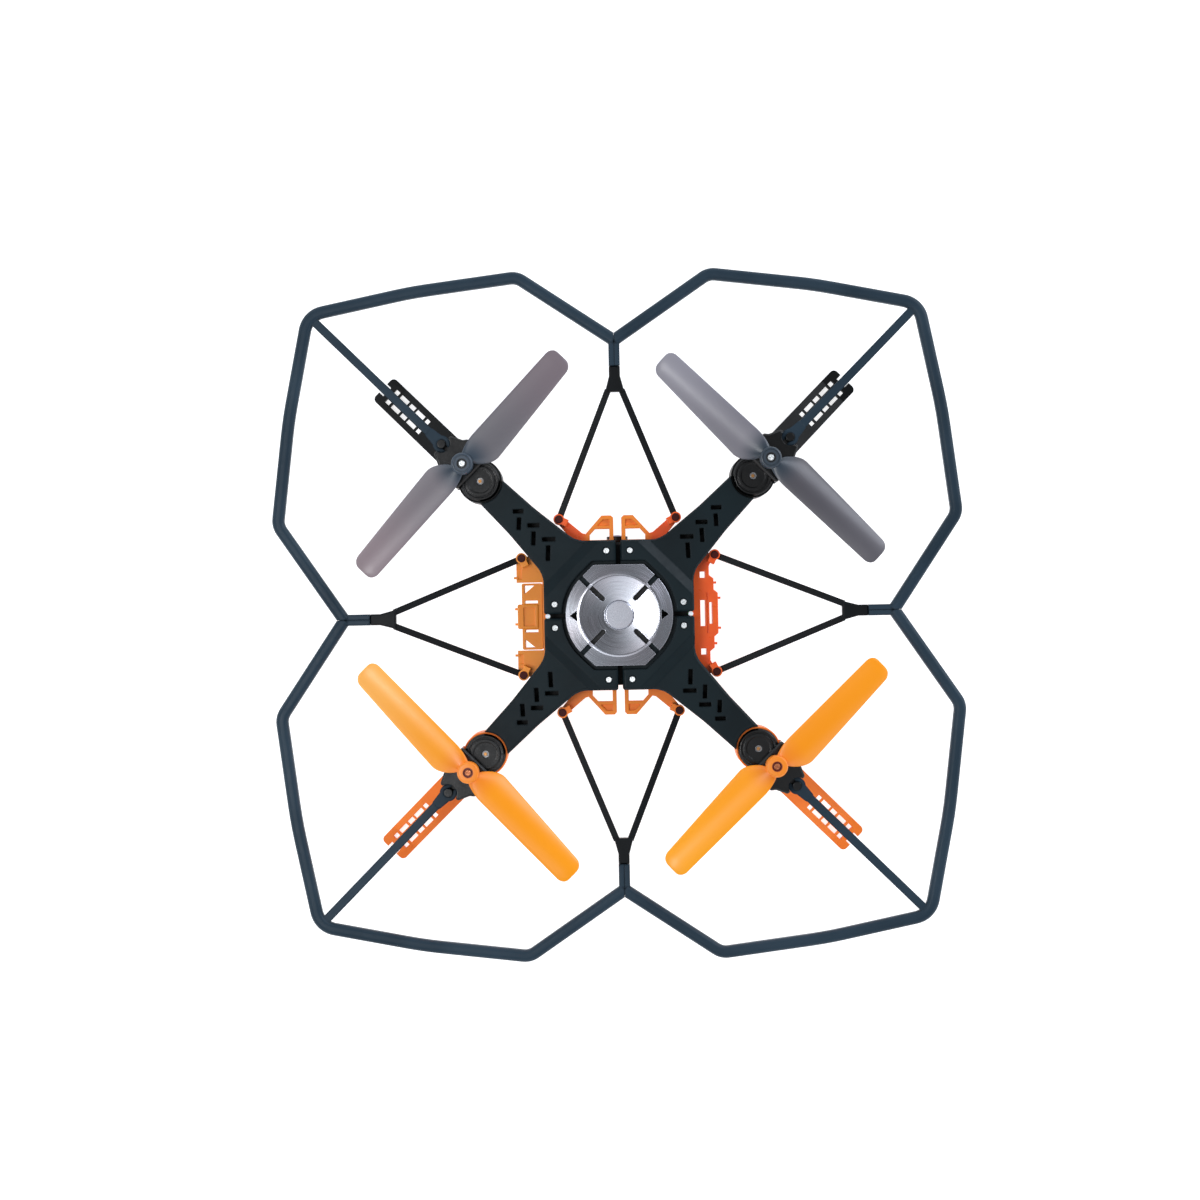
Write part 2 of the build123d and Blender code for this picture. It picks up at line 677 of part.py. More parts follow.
def lug(x, y):
    # clevis for a fork's eyelet: two discs joined by a wall away from the arm and the strut
    low = z_lug_low
    high = z_lug_top
    long_way = 3.0
    short_way = 1.5
    reach = Vector(long_way, short_way, 0) if abs(x) < abs(y) else Vector(short_way, long_way, 0)
    back = Vector(x - math.copysign(reach.X, x), y - math.copysign(reach.Y, y), 0)
    turn = Rot(0, 0, math.degrees(math.atan2(y - back.Y, x - back.X)))
    body = rod(x, y, lug_radius, low, z_fork_lug - 1.5)
    body += rod(x, y, lug_radius, z_fork_lug + 1.5, high)
    body += Pos(back.X, back.Y, (low + high) / 2) * turn * Box(1.4, 3.2, high - low)
    body += Pos((x + back.X) / 2, (y + back.Y) / 2, high - 0.95) * turn * Box(reach.length, 3.2, 1.9)
    body += Pos((x + back.X) / 2, (y + back.Y) / 2, low + 1.2) * turn * Box(reach.length, 3.2, 2.4)
    return body


def loops():
    # two loops at the front, drawn with u along +Y
    low = z_shell - 4
    body = None
    for side in (1, -1):
        points = [(1.8, hull_half_y - 1), (1.8, loop_reach - 1), (2.8, loop_reach), (7.0, loop_reach),
                  (14.6, loop_reach - 8.5), (14.6, hull_half_y - 1)]
        points = [(x * side, y) for x, y in points]
        loop = prism(points, low, z_shell)
        window = [(3.6, hull_half_y + 2.6), (12.4, hull_half_y + 2.6), (12.4, loop_reach - 8.6),
                  (10.0, loop_reach - 6.0), (3.6, loop_reach - 6.0)]
        loop -= prism([(x * side, y) for x, y in window], 0, 80)
        # the outer half is a plate set lower than the loop's rim
        plate = [(3.6, loop_reach - 4.6), (3.6, loop_reach - 1.8), (6.4, loop_reach - 1.8),
                 (9.0, loop_reach - 4.6)]
        loop -= prism([(x * side, y) for x, y in plate], z_shell - 1.2, 80)
        web = [(13.0, loop_reach - 8.5), (15.8, loop_reach - 7.7), (lug_near - 2.4, lug_far + 0.4),
               (lug_near + 0.8, lug_far - 1.4), (lug_near - 5.8, lug_far - 9.4), (13.0, hull_half_y - 1)]
        loop += prism([(x * side, y) for x, y in web], low, z_shell)
        body = loop if body is None else body + loop
    return body


def right_bulge():
    x = hull_half_x - 1
    inner_wall = bulge_reach - 3.8
    outer_wall = bulge_reach - 1.8
    points = [(x, -bulge_half), (inner_wall, -bulge_half), (inner_wall, -17), (outer_wall, -15.5),
              (outer_wall, -10.5), (bulge_reach, -9), (bulge_reach, 9), (outer_wall, 10.5),
              (outer_wall, 15.5), (inner_wall, 17), (inner_wall, bulge_half), (x, bulge_half)]
    body = prism(points, z_hull + 6, z_shell, radius=0.4)
    body = chamfer(top_edges(body, z_shell), 0.3)
    for near, far, half in ((7.9, 5.7, 5.8), (3.9, 2.6, 4.8)):
        body -= block(bulge_reach - near, bulge_reach - far, -half, half, 0, 80)
    for side in (1, -1):
        body -= block(bulge_reach - 7.9, bulge_reach - 5.5, 17.2 * side - 1.4, 17.2 * side + 1.4, 0, 80)
        # ribs on the outer wall
        for y in (6.7, 13.6):
            body += block(bulge_reach - 3, bulge_reach + 1.2 - (y > 10) * 1.8, y * side - 0.5, y * side + 0.5,
                          z_hull + 7, z_shell - 0.8)
        web = [(x, bulge_half - 1), (inner_wall, bulge_half - 1), (lug_far - 0.8, lug_near - 1.4),
               (lug_far - 1.4, lug_near + 0.8), (hull_half_x + 1.2, lug_near + 1.4), (x, bulge_half)]
        body += prism([(px, py * side) for px, py in web], z_shell - 4, z_shell)
    # shallow panel in the top
    body -= block(bulge_reach - 5.1, bulge_reach - 4.5, -9.0, 9.0, z_shell - 0.8, 80)
    return body


def left_cheeks():
    # fixed corners each side of the battery's end
    body = None
    x = hull_half_x - 1
    inside = head_half + moving_gap
    for side in (1, -1):
        points = [(-x, inside), (-cheek_reach, inside), (-cheek_reach, lug_near - 2.4),
                  (-lug_far - 1.2, lug_near - 0.8), (-lug_far + 1.4, lug_near + 0.8),
                  (-x - 2.2, lug_near + 1.4), (-x, bulge_half)]
        cheek = prism([(px, py * side) for px, py in points], z_shell - 5, z_shell)
        # shallow step along the outer edge
        edge = -cheek_reach + 2.4
        step = [(-cheek_reach - 1, inside + 1.6), (edge, inside + 1.6), (edge, lug_near - 5),
                (-cheek_reach - 1, lug_near - 5)]
        cheek -= prism([(px, py * side) for px, py in step], z_shell - 0.7, 80)
        rib = (inside + 2.1) * side
        cheek += block(-cheek_reach - 1.2, -cheek_reach + 1, rib - 0.5, rib + 0.5, z_shell - 4.5, z_shell - 0.6)
        body = cheek if body is None else body + cheek
    return body


def lower_hull():
    x, y = hull_half_x, hull_half_y
    tub = prism([(-x, -y), (x, -y), (x, y), (-x, y)], z_hull, z_shell, radius=hull_corner_radius)
    tub = chamfer(top_edges(tub, z_hull), 2.0)
    wall = hull_wall
    tub -= prism([(-x + wall, -y + wall), (x - wall, -y + wall), (x - wall, y - wall), (-x + wall, y - wall)],
                 z_hull + wall, 80, radius=hull_corner_radius - wall)
    body = tub + loops() + loops().rotate(Axis.Z, 180) + right_bulge() + left_cheeks()
    # the loops, bulge and cheeks don't fill the tub
    body -= prism([(-x + wall, -y + wall), (x - wall, -y + wall), (x - wall, y - wall), (-x + wall, y - wall)],
                  z_hull + wall, 80, radius=hull_corner_radius - wall)
    for sx in (1, -1):
        for sy in (1, -1):
            body += lug(lug_near * sx, lug_far * sy)
            body += lug(lug_far * sx, lug_near * sy)
            body -= rod(lug_near * sx, lug_far * sy, pin_radius, 0, 80)
            body -= rod(lug_far * sx, lug_near * sy, pin_radius, 0, 80)
    # battery's doorway
    body -= block(-80, -x + wall + 1, -battery_half - moving_gap, battery_half + moving_gap,
                  z_battery - fit_gap, z_battery_top + fit_gap)
    body -= block(-80, -x, -head_half - moving_gap, head_half + moving_gap, 0, 80)
    # rails beside the battery
    for side in (1, -1):
        edge = (battery_half + fit_gap) * side
        body += block(-x + wall + 2, battery_in, min(edge, edge + 1.2 * side), max(edge, edge + 1.2 * side),
                      z_hull + 1, z_hull + 6)
    # room for the switch in the floor
    body -= block(switch_x - 4.5, switch_x + 4.5, switch_y - 1.4, switch_y + 1.4, 0, z_hull + wall + 1)
    # cooling slots in the floor
    for step in range(-3, 4):
        body -= Pos(step * 5.0 + 4, 0, z_hull) * Box(1.6, 16, 6)
    # screw holes under the camera's bracket
    for sx in (1, -1):
        body -= rod(6.0 * sx, camera_y - 3.5, 0.9, 0, z_hull + wall + 1)
    return body


def battery_case():
    case_end = battery_end + battery_length
    wall = battery_wall
    head_outer = -cheek_reach + 2.2
    head_inner = -hull_half_x - fit_gap
    body = block(battery_end - 1, case_end, -battery_half, battery_half, z_battery, z_battery_top)
    body -= block(battery_end + wall, case_end - 1.6, -battery_half + wall, battery_half - wall,
                  z_battery + wall, z_battery_top - 1)
    head = prism([(head_inner, -head_half), (head_inner, head_half), (head_outer, head_half),
                  (head_outer, -head_half)], z_battery, z_shell - 0.6, radius=0.8)
    grip_half = 5.5
    head += prism([(battery_end - 0.8, -grip_half), (battery_end - 0.8, grip_half), (head_outer - 2, grip_half),
                   (head_outer - 2, -grip_half)], z_battery + 1, z_shell - 0.2, radius=0.8)
    head = chamfer(top_edges(head, z_shell - 0.2), 0.3)
    # windows in the top, and slits beside the grip
    for side in (1, -1):
        window = [(head_outer + 5.7, head_half - 0.9), (head_outer + 1.3, head_half - 0.9),
                  (head_outer + 1.3, head_half - 4.6)]
        head -= prism([(px, py * side) for px, py in window], 0, 80)
        slit = (grip_half + 1.0) * side
        head -= block(head_outer + 1.4, battery_end - 1, slit - 0.6, slit + 0.6, 0, 80)
        head += block(head_outer - 3.2, head_outer, 3.4 * side - 0.5, 3.4 * side + 0.5,
                      z_battery + 3, z_shell - 1.4)
    # panel sunk in the grip
    head -= block(head_outer + 0.7, head_outer + 5.9, 1.3 - grip_half, grip_half - 1.3, z_shell - 0.9, 80)
    return body + head


def battery_cell():
    wall = battery_wall + 0.2
    half = battery_half - wall
    return block(battery_end + wall, battery_end + battery_length - 2.0, -half, half,
                 z_battery + battery_wall + 0.1, z_battery_top - 1.1)


def centre_deck():
    r = deck_half
    c = deck_corner
    body = prism([(r, -c), (r, c), (c, r), (-c, r), (-r, c), (-r, -c), (-c, -r), (c, -r)], z_shell, z_deck_top)
    for turn in range(4):
        for side in (1, -1):
            post = rod(shell_screw_reach, shell_screw_side * side, 2.1, z_deck_top - 0.5, z_ceiling)
            body += post.rotate(Axis.Z, 90 * turn)
        body += rod(board_post, board_post, 1.6, z_deck_top - 0.5, z_board).rotate(Axis.Z, 90 * turn)
    for turn in range(4):
        for side in (1, -1):
            hole = rod(shell_screw_reach, shell_screw_side * side, screw_radius, 0, 80)
            body -= hole.rotate(Axis.Z, 90 * turn)
    # opening for the battery's plug
    body -= block(-6, 6, -8, 8, 0, 80)
    return body


def main_board():
    body = prism([(-17, -17), (17, -17), (17, 17), (-17, 17)], z_board, z_board + 1.2, radius=1.5)
    for x, y, length, width, height in ((0, 2, 7, 7, 1.1), (9, 8, 4, 4, 1.0), (-9, 8, 5, 4, 1.6),
                                        (-10, -6, 6, 3, 1.2), (8, -8, 3.2, 3.2, 2.2), (0, -11, 9, 4, 2.6)):
        body += block(x - length / 2, x + length / 2, y - width / 2, y + width / 2,
                      z_board + 1, z_board + 1.2 + height)
    for turn in range(4):
        body -= rod(board_post, board_post, 0.8, z_board - 1, 80).rotate(Axis.Z, 90 * turn)
    return body


def motor_leads():
    # two wires along each arm, from the motor's side to the board
    leads = []
    z_wire = z_deck_top + 1.3
    for v in (-0.9, 0.9):
        start = (motor_u - motor_radius - 0.2, v, z_wire)
        path = FilletPolyline(start, (44, v, z_wire), (36, v * 1.8, z_wire + 1.8), (29, v * 2.2, z_board + 3.4),
                              (21.0, v * 2.2, z_board + 3.6), (21.0, v * 2.2, z_board + 1.2),
                              radius=[10.0, 10.0, 10.0, 1.4])
        run = path % 0
        plane = Plane(origin=path @ 0, x_dir=(0, 0, 1), z_dir=run)
        leads.append(sweep(plane * Circle(0.55), path=path))
    return leads


# ---- centre cap, screws, pins, lights

def centre_cap():
    low = z_recess
    high = z_recess + cap_height
    bowl = high - bowl_depth
    rim = cap_radius + 4
    profile = [(0, low), (0, bowl + 1.0), (button_radius - 0.3, bowl + 1.0), (button_radius, bowl + 0.7),
               (button_radius + 0.4, bowl), (bowl_radius - 0.5, high - 0.2), (bowl_radius, high),
               (bowl_radius + 0.7, high - 0.1), (rim, high - band_drop), (rim, low)]
    face = make_face(Polyline(*[(r, 0, z) for r, z in profile], close=True))
    body = revolve(face, Axis.Z, 360) & cap_outline(0, low, high + 1)
    # hollow below
    body -= rod(0, 0, ledge_radius - 1.5, 0, bowl - cap_wall + 1.0)
    # skirt that centres the cap in the shells
    body += rod(0, 0, ledge_radius - 0.2, low - 1.6, low) - rod(0, 0, ledge_radius - 1.5, 0, 80)
    # slots and arrows cut right through, the slots with round inner ends
    for turn in range(4):
        slot = bar((cap_slot_start, 0), (rim, 0), cap_slot_width, low - 0.01, 80)
        slot += rod(cap_slot_start, 0, cap_slot_width / 2, low - 0.01, 80)
        body -= slot.rotate(Axis.Z, 45 + 90 * turn)
    for side in (1, -1):
        base = bowl_radius + 0.8
        arrow = [(base, -arrow_half), (arrow_reach, 0), (base, arrow_half)]
        body -= prism([(x * side, y) for x, y in arrow], low - 0.01, 80)
    return body


def shell_screws():
    screws = []
    for turn in range(4):
        for side in (1, -1):
            head = rod(0, 0, screw_head_radius, z_centre_top - 1.0, z_centre_top)
            head = chamfer(top_edges(head, z_centre_top), 0.3)
            head += rod(0, 0, screw_radius, z_deck_top + 1, z_centre_top - 1.0)
            head -= Pos(0, 0, z_centre_top - 0.2) * Box(1.7, 0.4, 0.6)
            head -= Pos(0, 0, z_centre_top - 0.2) * Box(0.4, 1.7, 0.6)
            screw = Pos(shell_screw_reach, shell_screw_side * side, 0) * Rot(0, 0, 25 * turn + 40 * side) * head
            screws.append(screw.rotate(Axis.Z, 90 * turn))
    return screws


def guard_pins():
    pins = []
    for sx in (1, -1):
        for sy in (1, -1):
            for x, y in ((lug_near, lug_far), (lug_far, lug_near)):
                pin = rod(x * sx, y * sy, pin_radius, z_lug_low + 0.4, z_lug_top + 0.1)
                pin += rod(x * sx, y * sy, pin_head_radius, z_lug_top, z_lug_top + 0.6)
                pins.append(chamfer(top_edges(pin, z_lug_top + 0.6), 0.2))
    return pins


def status_lights():
    lights = []
    for side in (1, -1):
        light = rod(light_reach * side, 0, light_radius, z_centre_top - 3, z_centre_top - 0.6)
        lights.append(chamfer(top_edges(light, z_centre_top - 0.6), 0.4))
    return lights


# ---- camera and switch

def camera_bracket():
    high = z_hull
    outside = cheek_half + bracket_wall
    body = prism([(-outside, camera_y - 6.5), (outside, camera_y - 6.5), (outside, camera_y + 3.5),
                  (-outside, camera_y + 3.5)], high - bracket_wall, high, radius=1.0)
    for side in (1, -1):
        inner = cheek_half * side
        outer = outside * side
        cheek = block(min(inner, outer), max(inner, outer), camera_y - 4, camera_y + 3.5, z_camera, high - 1)
        middle = Pos((inner + outer) / 2, camera_y - 0.25, z_camera)
        cheek += middle * Rot(0, 90, 0) * Cylinder(3.75, bracket_wall)
        body += cheek
    pivot = Pos(0, camera_y, z_camera) * Rot(0, 90, 0) * Cylinder(trunnion_radius + running_gap, 60)
    body -= pivot
    for sx in (1, -1):
        body -= rod(6.0 * sx, camera_y - 3.5, 0.9, 0, 80)
    return body


def camera_body():
    half = camera_width / 2
    y0 = camera_y - camera_length / 2
    y1 = camera_y + camera_length / 2
    body = block(-half, half, y0, y1, z_camera - camera_height / 2, z_camera + camera_height / 2)
    body = fillet(body.edges().filter_by(Axis.X), 2.4)
    body = chamfer(body.faces().sort_by(Axis.X)[0].edges(), 0.5)
    body = chamfer(body.faces().sort_by(Axis.X)[-1].edges(), 0.5)
    # turret for the lens
    turret = Pos(0, y1 + 0.9, z_camera) * Rot(90, 0, 0) * Cylinder(4.8, 2.4)
    body += turret
    body -= Pos(0, y1 + 1.2, z_camera) * Rot(90, 0, 0) * Cylinder(3.8, 3.0)
    pivot = Cylinder(trunnion_radius, camera_width + 2 * bracket_wall)
    return body + Pos(0, camera_y, z_camera) * Rot(0, 90, 0) * pivot


def camera_lens():
    y1 = camera_y + camera_length / 2
    ball = Pos(0, y1 - 2.6, z_camera) * Sphere(5.6)
    body = ball & (Pos(0, y1 + 1.4, z_camera) * Rot(90, 0, 0) * Cylinder(3.7, 3.2))
    return body


def power_switch():
    knob = block(switch_x - 3.2, switch_x - 0.2, switch_y - 1.1, switch_y + 1.1, z_hull - 1.0, z_hull + 1.7)
    knob += block(switch_x - 4.4, switch_x + 1.0, switch_y - 2.4, switch_y + 2.4, z_hull + 1.7, z_hull + 2.9)
    for step in (-1, 0, 1):
        groove = switch_x - 1.9 + step * 0.9
        knob -= block(groove, groove + 0.4, -50, 0, z_hull - 2, z_hull - 0.7)
    return knob


# ---- build everything

arm_pieces = {"arm_shell": arm_shell, "leg": leg, "shaft_cover": shaft_cover, "motor": motor, "pinion": pinion,
              "spur_gear": spur_gear, "prop_shaft": prop_shaft, "guard_hoop": guard_hoop}

for name, maker in arm_pieces.items():
    shape = maker()
    for quadrant in quadrants:
        nodes[f"{name}_{quadrant}"] = to_quadrant(shape, quadrant)

right_hand = propeller()
left_hand = mirror(right_hand, about=Plane.YZ)
screw = prop_screw()
for quadrant in quadrants:
    x, y = quadrant_point(prop_axis_u, 0, quadrant)
    if quadrant in ("front_right", "rear_left"):
        shape = right_hand.rotate(Axis.Z, 45 if quadrant == "front_right" else 225)
    else:
        shape = left_hand.rotate(Axis.Z, 315 if quadrant == "front_left" else 135)
    shape = shape.rotate(Axis.Z, prop_turn[quadrant])
    nodes[f"propeller_{quadrant}"] = Pos(x, y, 0) * shape
    nodes[f"prop_screw_{quadrant}"] = Pos(x, y, 0) * screw.rotate(Axis.Z, prop_turn[quadrant] * 20)

fork = guard_fork()
for name, turn in sides.items():
    nodes[f"guard_fork_{name}"] = fork.rotate(Axis.Z, turn)

bearings = []
caps = []
leads = []
for quadrant in quadrants:
    bearings += [to_quadrant(b, quadrant) for b in shaft_bearings()]
    caps.append(to_quadrant(motor_cap(), quadrant))
    leads += [to_quadrant(w, quadrant) for w in motor_leads()]

nodes["shaft_bearings"] = Compound(children=bearings)
nodes["motor_caps"] = Compound(children=caps)
nodes["motor_leads"] = Compound(children=leads)
nodes["shell_screws"] = Compound(children=shell_screws())
nodes["guard_pins"] = Compound(children=guard_pins())
nodes["status_lights"] = Compound(children=status_lights())
nodes["lower_hull"] = lower_hull()
nodes["centre_deck"] = centre_deck()
nodes["centre_cap"] = centre_cap()
nodes["main_board"] = main_board()
nodes["battery_case"] = battery_case()
nodes["battery_cell"] = battery_cell()
nodes["camera_bracket"] = camera_bracket()
nodes["camera_body"] = camera_body()
nodes["camera_lens"] = camera_lens()
nodes["power_switch"] = power_switch()

os.makedirs("parts", exist_ok=True)
for name, shape in nodes.items():
    export_step(shape, f"parts/{name}.step")
print(len(nodes), "nodes written")
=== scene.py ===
import json
import math

import bmesh
import bpy
from mathutils import Matrix, Vector


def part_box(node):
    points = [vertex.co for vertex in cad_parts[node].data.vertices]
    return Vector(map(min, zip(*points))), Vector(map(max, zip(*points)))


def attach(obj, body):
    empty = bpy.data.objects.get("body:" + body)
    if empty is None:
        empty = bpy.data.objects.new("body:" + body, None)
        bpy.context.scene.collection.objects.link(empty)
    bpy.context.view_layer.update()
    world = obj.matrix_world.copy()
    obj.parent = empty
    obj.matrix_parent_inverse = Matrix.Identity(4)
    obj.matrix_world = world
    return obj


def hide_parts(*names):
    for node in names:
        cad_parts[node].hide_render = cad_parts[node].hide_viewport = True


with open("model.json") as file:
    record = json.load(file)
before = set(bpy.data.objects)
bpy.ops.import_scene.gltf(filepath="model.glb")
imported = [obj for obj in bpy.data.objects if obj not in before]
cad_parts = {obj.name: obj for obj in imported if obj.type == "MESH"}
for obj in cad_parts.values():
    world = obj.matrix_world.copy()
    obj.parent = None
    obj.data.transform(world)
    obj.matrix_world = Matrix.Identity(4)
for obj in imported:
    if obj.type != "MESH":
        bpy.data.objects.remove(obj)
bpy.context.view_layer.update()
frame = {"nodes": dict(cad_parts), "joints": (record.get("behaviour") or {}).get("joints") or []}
nodes = frame["nodes"]
scene = bpy.context.scene
mm = 0.001
noiseMiddle = {"From Min": 0.35, "From Max": 0.65}  # a noise seldom leaves this range
noiseWide = {"From Min": 0.3, "From Max": 0.7}
quadrants = ["front_right", "front_left", "rear_left", "rear_right"]
sides = ["right", "front", "left", "rear"]
hinges = [joint for joint in frame["joints"] if joint["type"] == "hinge"]
jointPlace = {joint["name"]: Vector(joint["pos_m"]) for joint in hinges}
rotorCentre = {q: jointPlace["rotor_spin_" + q] for q in quadrants}
print("frame loaded:", len(nodes), "CAD nodes")


def toLinear(hexText):
    # sRGB hex to the linear colour that the shaders use
    text = hexText.lstrip("#")
    values = [int(text[i:i + 2], 16) / 255 for i in (0, 2, 4)]
    return [v / 12.92 if v <= 0.04045 else ((v + 0.055) / 1.055) ** 2.4 for v in values] + [1.0]


def addNode(tree, kind, settings=None, links=None):
    # settings fill the node's own options or its sockets, links feed a socket from another node's output;
    # a Mix node's sockets are 0 for the share, 2 and 3 for numbers, and 6 and 7 for colours
    node = tree.nodes.new(kind)
    for key, value in (settings or {}).items():
        if isinstance(key, str) and hasattr(node, key):
            setattr(node, key, value)
        else:
            node.inputs[key].default_value = value
    for key, source in (links or {}).items():
        tree.links.new(source, node.inputs[key])
    return node


def startMaterial(name):
    material = bpy.data.materials.new(name)
    material.use_nodes = True
    tree = material.node_tree
    tree.nodes.clear()
    place = addNode(tree, "ShaderNodeTexCoord").outputs["Object"]
    return material, tree, place


def mouldedPlastic(name, look):
    # injection moulding: a fine spark-eroded grain, a slow drift of colour and recoloured corners, rubbed
    # paler on most parts and darkened with painted shade on the shells and guard hoops
    material, tree, place = startMaterial(name)
    drift = addNode(tree, "ShaderNodeTexNoise", {"Scale": 1 / (look["driftMm"] * mm), "Detail": 4.0},
                    {"Vector": place})
    driftAmount = addNode(tree, "ShaderNodeMapRange", noiseMiddle, {"Value": drift.outputs["Fac"]})
    scuff = addNode(tree, "ShaderNodeTexNoise",
                    {"Scale": 1 / (look["scuffMm"] * mm), "Detail": 6.0, "Roughness": 0.7},
                    {"Vector": place})
    grain = addNode(tree, "ShaderNodeTexNoise", {"Scale": 1 / (look["grainMm"] * mm), "Detail": 2.0},
                    {"Vector": place})
    # the corner mask is how far the rounded normal leans away from the true one
    rounded = addNode(tree, "ShaderNodeBevel", {"samples": 6, "Radius": look["cornerMm"] * mm})
    trueNormal = addNode(tree, "ShaderNodeNewGeometry").outputs["Normal"]
    lean = addNode(tree, "ShaderNodeVectorMath", {"operation": "DOT_PRODUCT"},
                   {0: rounded.outputs[0], 1: trueNormal})
    corner = addNode(tree, "ShaderNodeMapRange", {"From Min": 0.99, "From Max": 0.80},
                     {"Value": lean.outputs["Value"]})
    cornerPatchiness = addNode(tree, "ShaderNodeMapRange",
                          {**noiseMiddle, "To Min": 0.2 * look["cornerWearAndShadeAmount"], "To Max": look["cornerWearAndShadeAmount"]},
                          {"Value": scuff.outputs["Fac"]})
    cornerWearAndShadeMask = addNode(tree, "ShaderNodeMath", {"operation": "MULTIPLY"},
                   {0: corner.outputs[0], 1: cornerPatchiness.outputs[0]})
    body = addNode(tree, "ShaderNodeMix",
                   {"data_type": "RGBA", 6: toLinear(look["colour"]), 7: toLinear(look["shade"])},
                   {0: driftAmount.outputs[0]}).outputs[2]
    if "paintedLight" in look:
        # painted light: the thin walls at the left, the rear and the middle are painted paler, standing in
        # for the light that shows through them
        paintedLight = look["paintedLight"]
        axes = addNode(tree, "ShaderNodeSeparateXYZ", links={0: place})
        out = addNode(tree, "ShaderNodeMath", {"operation": "ABSOLUTE"}, {0: axes.outputs[0]})
        middle = addNode(tree, "ShaderNodeMapRange",
                         {"From Min": paintedLight["middleEndMm"] * mm, "From Max": paintedLight["middleFullMm"] * mm,
                          "To Max": paintedLight["middleShare"]}, {"Value": out.outputs[0]})
        left = addNode(tree, "ShaderNodeMapRange",
                       {"From Min": paintedLight["leftEndMm"] * mm, "From Max": paintedLight["leftFullMm"] * mm},
                       {"Value": axes.outputs[0]})
        rear = addNode(tree, "ShaderNodeMapRange",
                       {"From Min": paintedLight["rearEndMm"] * mm, "From Max": paintedLight["rearFullMm"] * mm,
                        "To Max": paintedLight["rearShare"]}, {"Value": axes.outputs[1]})
        paintedLightMiddleAndLeft = addNode(tree, "ShaderNodeMath", {"operation": "MAXIMUM"},
                       {0: middle.outputs[0], 1: left.outputs[0]})
        paintedLightShare = addNode(tree, "ShaderNodeMath", {"operation": "MAXIMUM"},
                        {0: paintedLightMiddleAndLeft.outputs[0], 1: rear.outputs[0]})
        body = addNode(tree, "ShaderNodeMix", {"data_type": "RGBA", 7: toLinear(paintedLight["colour"])},
                       {0: paintedLightShare.outputs[0], 6: body}).outputs[2]
    if "paintedShadeFloor" in look:
        # painted shade: the leg is painted near-black up to the motor, where the arm's floor lies in shade
        # inside the arm and shows through the vents
        flat = addNode(tree, "ShaderNodeVectorMath", {"operation": "MULTIPLY", 1: (1, 1, 0)}, {0: place})
        radius = addNode(tree, "ShaderNodeVectorMath", {"operation": "LENGTH"}, {0: flat.outputs[0]})
        inside = addNode(tree, "ShaderNodeMath", {"operation": "LESS_THAN", 1: look["paintedShadeFloorMm"] * mm},
                         {0: radius.outputs["Value"]})
        body = addNode(tree, "ShaderNodeMix", {"data_type": "RGBA", 7: toLinear(look["paintedShadeFloor"])},
                       {0: inside.outputs[0], 6: body}).outputs[2]
    # corners take the corner colour: paler wear on most parts, painted shade on the shells and guard hoops,
    # whose corner colour is darker
    colour = addNode(tree, "ShaderNodeMix", {"data_type": "RGBA", 7: toLinear(look["cornerWearAndShade"])},
                     {0: cornerWearAndShadeMask.outputs[0], 6: body})
    rough = addNode(tree, "ShaderNodeMapRange",
                    {**noiseWide, "To Min": look["roughness"] - 0.05, "To Max": look["roughness"] + 0.08},
                    {"Value": scuff.outputs["Fac"]})
    skin = addNode(tree, "ShaderNodeBump", {"Distance": look["grainDepthMm"] * mm, "Strength": 0.6},
                   {"Height": grain.outputs["Fac"], "Normal": rounded.outputs[0]})
    shader = addNode(tree, "ShaderNodeBsdfPrincipled",
                     {"IOR": look["ior"], "Specular IOR Level": look["gloss"], "Coat Weight": look["coat"],
                      "Coat Roughness": 0.2, "Subsurface Weight": look["glow"],
                      "Subsurface Scale": 1.5 * mm},
                     {"Base Color": colour.outputs[2], "Roughness": rough.outputs[0],
                      "Normal": skin.outputs[0]})
    addNode(tree, "ShaderNodeOutputMaterial", links={"Surface": shader.outputs[0]})
    return material


